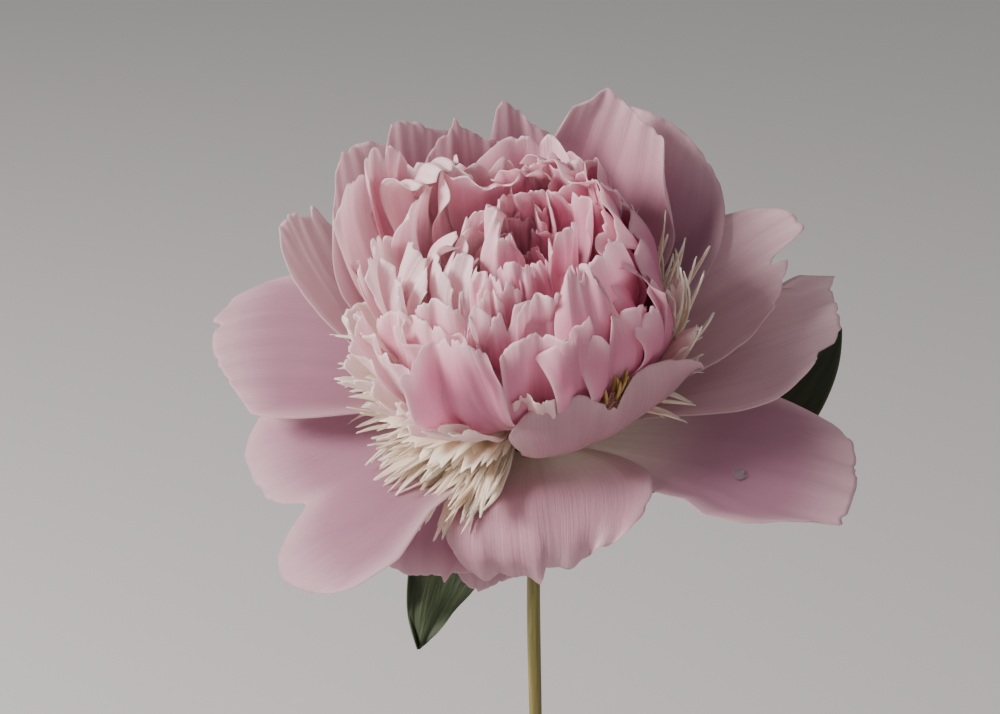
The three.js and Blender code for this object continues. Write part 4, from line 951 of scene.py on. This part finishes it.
# The petals of each layer, each by the place of its tip, its width, and what sets it apart. They are numbered
# in this order, and one that stands among the shoulder's belongs to the wrap.
BALL_PETALS = {
    # small loose ones low on the left and the front
    "apron": [
        dict(tip=(-98, 44, 44), width=23, turn=-8),
        dict(tip=(-76, 46, 40), width=24, turn=-8, notches=FINGERS),
        dict(tip=(-56, 45, 40), width=23, turn=-12, notches=FINGERS),
        dict(tip=(-40, 43, 42), width=20, turn=-10, notches=FINGERS),
        dict(tip=(-26, 41, 42), width=12, turn=-8, via=(42, 24), curl=(0.5, -20)),
        dict(tip=(4, 37, 48), width=12, via=(40, 26)),
        dict(tip=(76, 46, 45), width=10, via=(42, 24)),
        dict(tip=(88, 46, 50), width=11, via=(44, 26), curl=(0.5, 20)),
    ],
    # the outermost of the ball, from the left round the front to the back, and two tall ones at the left
    "wrap": [
        dict(tip=(-106, 40, 57), width=7, tip_width=0.3),
        dict(tip=(-72, 41, 56), width=26, turn=-8),
        dict(tip=(-60, 40, 57), width=26, turn=-10),
        dict(tip=(-53, 35, 62), width=30, turn=-8),
        dict(tip=(-41, 32, 65), width=28, turn=-12, curl=(0.6, -10)),
        dict(tip=(-27, 38, 66), width=20, turn=-22, via=(56, 30), cup=(20, 10), face=2,
             left=((0.2, 1.2), (0.6, 1.45), (1, 1.3)),
             dents=((-1.0, 0.34, -8.0, 0.1), (-0.35, 0.22, 1.6, 0.2)), curl=(0.6, 2),
             waves=((1.9, 2.3, 0.2),), tint=0.3),
        dict(tip=(13, 31, 63), width=26, turn=4),
        dict(tip=(32, 32, 63), width=27, turn=-4),
        dict(tip=(49, 35, 61), width=25, turn=6),
        dict(tip=(72, 40, 60), width=29, curl=(0.5, 14)),
        dict(tip=(90, 37, 65), width=31, curl=(0.5, 18)),
        dict(tip=(110, 38, 67), width=37, curl=(0.5, 20)),
        dict(tip=(136, 41, 66), width=33, curl=(0.5, 16)),
        dict(tip=(164, 41, 64), width=35),
        dict(tip=(-166, 41, 64), width=35),
        dict(tip=(-140, 42, 68), width=31),
        dict(tip=(-120, 46, 77), width=26, base=(12, 20), via=(52, 34), curl=(0.6, 6),
             frill=((0.8, 0.5, 0.2),)),
        dict(tip=(-127, 41, 85), width=13, base=(12, 21), via=(48, 44), ragged=(0.02, 1), curl=(0.6, 4)),
    ],
    # a tall one and its neighbour at the left, then from the left round to the back, with a tall smooth one
    "shoulder": [
        dict(tip=(-138, 36, 88), width=23, via=(44, 48), curl=(0.66, 75), tip_width=0.9, ragged=(0.02, 5)),
        dict(tip=(-120, 28, 77), width=19, via=(40, 46)),
        dict(tip=(-97, 33, 68), width=20, turn=-6),
        dict(tip=(-88, 33, 65), width=16, turn=-8),
        dict(tip=(-81, 24, 71), width=19),
        dict(tip=(-68, 30, 67), width=19, turn=-8),
        dict(tip=(-35, 26, 69), width=24, turn=-6),
        dict(tip=(-30, 23, 72), width=4, tip_width=0.3),
        dict(tip=(-21, 27, 68), width=6, tip_width=0.3, turn=6),
        dict(tip=(6, 25, 68), width=24, turn=-4, ragged=(0.1, 3)),
        dict(tip=(17, 22, 69.5), width=16, turn=6),
        dict(layer="wrap", tip=(44, 24, 74), width=18, turn=32, via=(58, 46), face=-4, crumple=(0.4, 3),
             curl=(0.5, 2), waves=((0.8, 1.2, 0.1),), tip_width=0.6, tint=-0.1),
        dict(tip=(58, 24, 72), width=27, turn=-4, ragged=(0.05, 2), crumple=(0.35, 3)),
        dict(tip=(87, 29, 68), width=30, curl=(0.5, 24)),
        dict(tip=(101, 28, 73), width=30, curl=(0.5, 20)),
        dict(tip=(117, 27, 77), width=30, curl=(0.5, 16)),
        dict(tip=(140, 27, 84), width=30, curl=(0.6, 30)),
        dict(tip=(170, 31, 76), width=32),
        dict(tip=(-160, 30, 78), width=32, curl=(0.6, 20)),
    ],
    # round the opening at the top
    "rim": [
        dict(tip=(-98, 20, 74), width=14, curl=(0.6, 40), ragged=(0.02, 4)),
        dict(tip=(-55, 14, 72), width=16, ragged=(0.14, 6)),
        dict(tip=(-72, 19, 70), width=16),
        dict(tip=(-26, 16, 71), width=9),
        dict(tip=(-16, 20, 70), width=7),
        dict(tip=(-12, 17, 71.5), width=12),
        dict(tip=(-143, 24, 79), width=18, tip_width=0.75, ragged=(0.02, 7), curl=(0.6, 6)),
        dict(tip=(-168, 20, 83), width=25, curl=(0.6, 34), ragged=(0.03, 8)),
        dict(tip=(166, 21, 83), width=17, curl=(0.6, 30), ragged=(0.03, 9)),
        dict(tip=(152, 22, 81), width=14, face=18),
        dict(tip=(143, 22, 79), width=14, face=22),
        dict(tip=(133, 24, 79), width=14, face=24),
        dict(tip=(122, 24, 78), width=15, face=20),
    ],
    # the small ones inside, and those that stand in front of them
    "bowl": [
        dict(tip=(122, 19, 75), width=21, via=(24, 50)),
        dict(tip=(72, 14, 76), width=14, ragged=(0.1, 3), curl=(0.5, -8)),
        dict(tip=(-116, 5, 79), width=15, base=(6, 34), via=(10, 52), tip_width=0.3, ragged=(0.02, 4),
             face=20),
        dict(tip=(-30, 3, 74), width=11, base=(6, 34), via=(9, 52), tip_width=0.5, ragged=(0.04, 5)),
        dict(tip=(3, 11, 70), width=11),
        dict(tip=(35, 11, 68), width=12),
        dict(tip=(156, 19, 76), width=15, curl=(0.5, 24)),
        dict(tip=(-177, 17, 73), width=21, curl=(0.5, 24)),
        dict(tip=(-148, 15, 74), width=15, curl=(0.5, 20)),
        dict(tip=(-112, 14, 69), width=15),
        dict(tip=(-80, 12, 66), width=12),
        dict(tip=(159, 15, 68), width=11),
        dict(tip=(176, 14, 66), width=11),
        dict(tip=(138, 13, 64), width=11),
        dict(tip=(-161, 10, 64), width=10),
        dict(tip=(-130, 10, 63), width=11),
        dict(tip=(60, 7, 62), width=11, via=(12, 46)),
        dict(tip=(105, 7, 63), width=11, via=(12, 46)),
        dict(tip=(180, 6, 60), width=11, via=(12, 44)),
    ],
}

outer_ball_skin = petal_finish(
    "outer_ball_skin",
    foot=(0.93, 0.72, 0.66),
    flesh=(0.92, 0.45, 0.59),
    deep=(0.74, 0.24, 0.40),
    rim=(0.98, 0.84, 0.82),
    through=0.5,
    Foot_End=0.55,
    Rim_Start=0.84,
    Veining=0.3,
    Vein_Count=40.0,
)
inner_ball_skin = petal_finish(
    "inner_ball_skin",
    foot=(0.97, 0.66, 0.72),
    flesh=(0.96, 0.58, 0.69),
    deep=(0.86, 0.37, 0.52),
    rim=(0.98, 0.84, 0.83),
    through=0.5,
    Foot_End=0.7,
    Rim_Start=0.84,
    Veining=0.28,
    Vein_Count=32.0,
)
apron_skin = petal_finish(
    "apron_skin",
    foot=(0.97, 0.85, 0.73),
    flesh=(0.96, 0.74, 0.72),
    deep=(0.93, 0.60, 0.63),
    rim=(0.96, 0.84, 0.79),
    through=0.5,
    Foot_End=0.7,
    Rim_Start=0.84,
    Veining=0.18,
    Vein_Count=22.0,
)
BALL_SKINS = {
    "apron": apron_skin,
    "wrap": outer_ball_skin,
    "shoulder": inner_ball_skin,
    "rim": inner_ball_skin,
    "bowl": inner_ball_skin,
}


def ruffled(shape, seed):
    """The small ruffles and tears of one inner petal, less on a narrow one."""
    q = lambda k: quirk(seed, k)
    size = min(1, shape["width"] / 24) ** 1.5
    return {
        "crumple": (1.15 + 0.25 * q(40), seed),
        "ragged": (0.045 + 0.02 * q(41), seed),
        "frill": ((size * (1.7 + 0.9 * q(42)), 0.6 + 0.2 * q(43), q(44)), (size, 1.5 + 0.4 * q(45), q(46))),
        "waves": ((2.3 * size, 1.4, q(47)),),
        "notches": ((0.6 * q(50), 0.16, 0.06 + 0.05 * q(51)),),
        **shape,
    }


def ball_petal(number, layer, tip, width, turn=0, base=None, via=None, **form):
    """A petal of the ball, from the heart by way of its layer's bulge to its tip. It starts turned away from
    its tip by turn, in degrees. Its tint is painted shade and painted light: deeper pink on the shaded right
    of the ball and paler on the lit left, with a little tone that differs at random."""
    radius, height = via or BALL_LAYERS[layer]["via"]
    drawn = 1 - FRONT_DRAWN_IN * max(0, math.cos(math.radians(tip[0])))
    usual = {
        **INNER_FORM,
        "face": 14 * quirk(number, 52),
        "curl": (0.66, BALL_LAYERS[layer]["lean"] + 20 * quirk(number, 48)),
        # painted shade on the right of the ball and painted light on its left, plus a little random tone
        "tint": 0.75 * math.sin(math.radians(tip[0])) - 0.05 + 0.3 * quirk(number, 49),
    }
    places = {
        "base": (tip[0] - turn, *(base or BALL_LAYERS[layer]["base"])),
        "via": (tip[0] - turn / 2, radius * drawn, height),
        "tip": tip,
        "width": width,
    }
    return petal(**ruffled({**usual, **places, **form}, INNER_SEED + number))


ball_rows = [{"layer": layer, **row} for layer, rows in BALL_PETALS.items() for row in rows]
ball_pieces = []
for layer in BALL_LAYERS:
    shapes = [ball_petal(n, **row) for n, row in enumerate(ball_rows) if row["layer"] == layer]
    layer_piece = skins(f"ball_{layer}_petals", shapes, 36, 40, 0.45)
    layer_piece.data.materials.append(BALL_SKINS[layer].material)
    ball_pieces.append(layer_piece)

HEART_TOP = 51.5
heart_curve = smooth_curve([(12, SEAT_TOP), (18, 22), (24, 34), (24, 42), (17, 48), (8, HEART_TOP - 0.5)], 30)
heart = turned("ball_heart", [(0, SEAT_TOP), *map(tuple, heart_curve), (0, HEART_TOP)], 48, from_bloom)
heart.data.materials.append(inner_ball_skin.material)
ball_pieces.append(heart)
for piece in ball_pieces:
    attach(piece, "root")
    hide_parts("inner_petals")

# ---- The fringe ----
# Between the ball and the outer petals stand narrow cream strips, stamens that have half turned into petals.
# They are thickest at the front left, where they droop, and some stand upright on the right.

fringe_skin = petal_finish(
    "fringe_skin",
    foot=(0.98, 0.88, 0.68),
    flesh=(0.99, 0.90, 0.74),
    deep=(0.98, 0.78, 0.65),
    rim=(0.99, 0.93, 0.82),
    through=0.5,
    Vein_Count=5.0,
    Veining=0.2,
)
# The strips that show best in front and on the right: the place of each tip, and the width.
FRINGE_STRIPS = [
    ((-91, 53, 22), 5.5), ((-94, 45, 28), 4.5), ((-100, 44, 31), 3.5), ((-102, 53, 34), 4),
    ((-80, 46, 20), 5), ((-68, 41, 18), 5), ((-60, 47, 14), 4), ((-54, 52, 13), 5), ((-49, 49, 11), 4.5),
    ((-44, 43, 14), 4),
    ((-38, 46, 8), 4.5), ((-33, 51, 3), 4), ((-30, 36, 11), 4.5), ((-20, 31, 11), 4), ((83, 40, 34), 4),
    ((90, 46, 36), 5.5), ((96, 42, 41), 5), ((72, 38, 28), 4), ((110, 48, 36), 5), ((128, 50, 34), 5),
    ((146, 48, 34), 5), ((165, 50, 33), 5), ((-176, 48, 33), 5), ((-158, 50, 33), 5), ((-140, 48, 33), 5),
    ((-122, 50, 33), 5),
]
# Broader ones, cut into fingers at their tips, that lie over the strips against the foot of the ball.
FRINGE_BLADES = [
    ((-88, 41, 36), 15), ((-76, 45, 30), 16), ((-64, 44, 27), 17), ((-52, 43, 24), 17), ((-41, 42, 22), 16),
    ((-30, 38, 20), 15), ((-20, 34, 19), 11),
]
BLADE_SEED, FINE_SEED, UPRIGHT_SEED = 40, 100, 300


def strip_of(tip, width, seed, **form):
    """A strip that leaves the seat, rises a little and droops to its tip."""
    q = lambda k: quirk(seed, k)
    azimuth, radius, height = tip
    usual = {
        "base": (azimuth, 10, 10.5),
        "via": (azimuth + 5 * q(60), 0.62 * radius, max(14, 0.55 * height + 9) + 1.5 * q(61)),
        "tip": tip,
        "width": width,
        "face": 14 * q(62),
        "foot": 0.25,
        "full": 0.6,
        "tip_width": 0.35,
        "cup": (20, 30),
        "crumple": (0.25, seed),
        "ragged": (0.05, seed),
        "curl": (0.5, 20 * q(63)),
        "tint": q(64),
    }
    return petal(**{**usual, **form})


fringe_shapes = [strip_of(tip, width, i) for i, (tip, width) in enumerate(FRINGE_STRIPS)]
for i, (tip, width) in enumerate(FRINGE_BLADES):
    fingered = {"notches": FINGERS, "tip_width": 0.9, "crumple": (0.5, i)}
    fringe_shapes.append(strip_of(tip, width, BLADE_SEED + i, **fingered))

# Finer strips fill in between them, thickest at the front left.
FINE_STRIPS = 260
for i in range(FINE_STRIPS):
    q = lambda k: quirk(i + 1, 66 + k)
    azimuth = -58 + 44 * q(0) if i % 3 > 0 else 180 + 116 * q(0)
    back = (1 - math.cos(math.radians(azimuth))) / 2
    radius = 42 + 10 * q(1)
    low = 7 * math.exp(-(((azimuth + 34) / 17) ** 2))
    tip = (azimuth, radius, 12 + 24 * back + 4 * q(2) - 0.2 * (radius - 40) - low)
    form = {"tip_width": 0.35, "face": 40 * q(4), "curl": (0.4, 40 * q(5)), "waves": ((0.5, 2.2, q(6)),)}
    fringe_shapes.append(strip_of(tip, 1.9 + 0.9 * q(3), FINE_SEED + i, **form))

# Some stand upright on the right, between the ball and the outer petals behind it.
UPRIGHT_STRIPS = 34
for i in range(UPRIGHT_STRIPS):
    q = lambda k: quirk(i + 1, 90 + k)
    tip = (104 + 36 * q(0), 47 + 4 * q(1), 46 + 13 * q(2))
    via = (tip[0] + 4 * q(3), 46 + 3 * q(4), 22)
    form = {"via": via, "tip_width": 0.3, "face": 24 * q(5), "curl": (0.6, 22 * q(6))}
    fringe_shapes.append(strip_of(tip, 2.6 + 1.0 * q(7), UPRIGHT_SEED + i, **form))
fringe = skins("fringe_strips", fringe_shapes, 12, 26, 0.4)
fringe.data.materials.append(fringe_skin.material)
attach(fringe, "root")
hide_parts("fringe_petals")

# ---- The stamens ----
# A ring of threads round the seat, each a pale filament that ends in a gold-brown anther. A tuft of longer
# ones shows over the notch of the cup-shaped petal.

RING_COUNT = 56
TUFT_COUNT = 16
TUFT_AZIMUTH = 46
FILAMENT_RADIUS = 0.22
ANTHER_RADII = (0.25, 0.46, 0.52, 0.42, 0.18)
stamen_skin = Finish("stamen_skin")
stamen_skin.shader.inputs["Roughness"].default_value = 0.6
pollen = stamen_skin.add("ShaderNodeTexNoise", Scale=900.0, Detail=2.0).outputs["Fac"]
stamen_skin.drive("Base Color", blended(stamen_skin.tree, pollen, (0.30, 0.17, 0.05), (0.52, 0.33, 0.11)))
filaments, anthers = [], []
for i in range(RING_COUNT + TUFT_COUNT):
    q = lambda k: quirk(i + 1, 80 + k)
    if i < RING_COUNT:
        azimuth = i * 360 / RING_COUNT + 4 * q(0)
        back = (1 - math.cos(math.radians(azimuth))) / 2
        via = around(azimuth + 5 * q(1), 21, 14.5 + 2 * back)
        end = around(azimuth + 8 * q(2), 22 + 7 * back + 3 * q(3), 17 + 6 * back + 2 * q(4))
    else:
        azimuth = TUFT_AZIMUTH + 9 * q(0)
        via = around(azimuth - 6 * q(2), 35 + 3 * q(1), 20)
        end = around(azimuth + 8 * q(2), 36.5 + 2 * q(3), 41 + 4 * q(4))
    line = bent_line(around(azimuth, 10, 12.9), via, end, 18)
    filaments.append(rod(line[:-2], np.full(len(line) - 2, FILAMENT_RADIUS), 8))
    anthers.append(rod(line[-len(ANTHER_RADII) :], ANTHER_RADII, 8))
THREADS = (("stamen_filaments", filaments, fringe_skin), ("stamen_anthers", anthers, stamen_skin))
for name, rods, skin in THREADS:
    firsts = np.cumsum([0] + [len(points) for points, _ in rods])
    faces = [[corner + first for corner in face] for first, (_, block) in zip(firsts, rods) for face in block]
    threads = smooth_mesh(name, from_bloom(np.vstack([points for points, _ in rods])), faces)
    threads.data.materials.append(skin.material)
    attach(threads, "root")
    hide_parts("stamens")
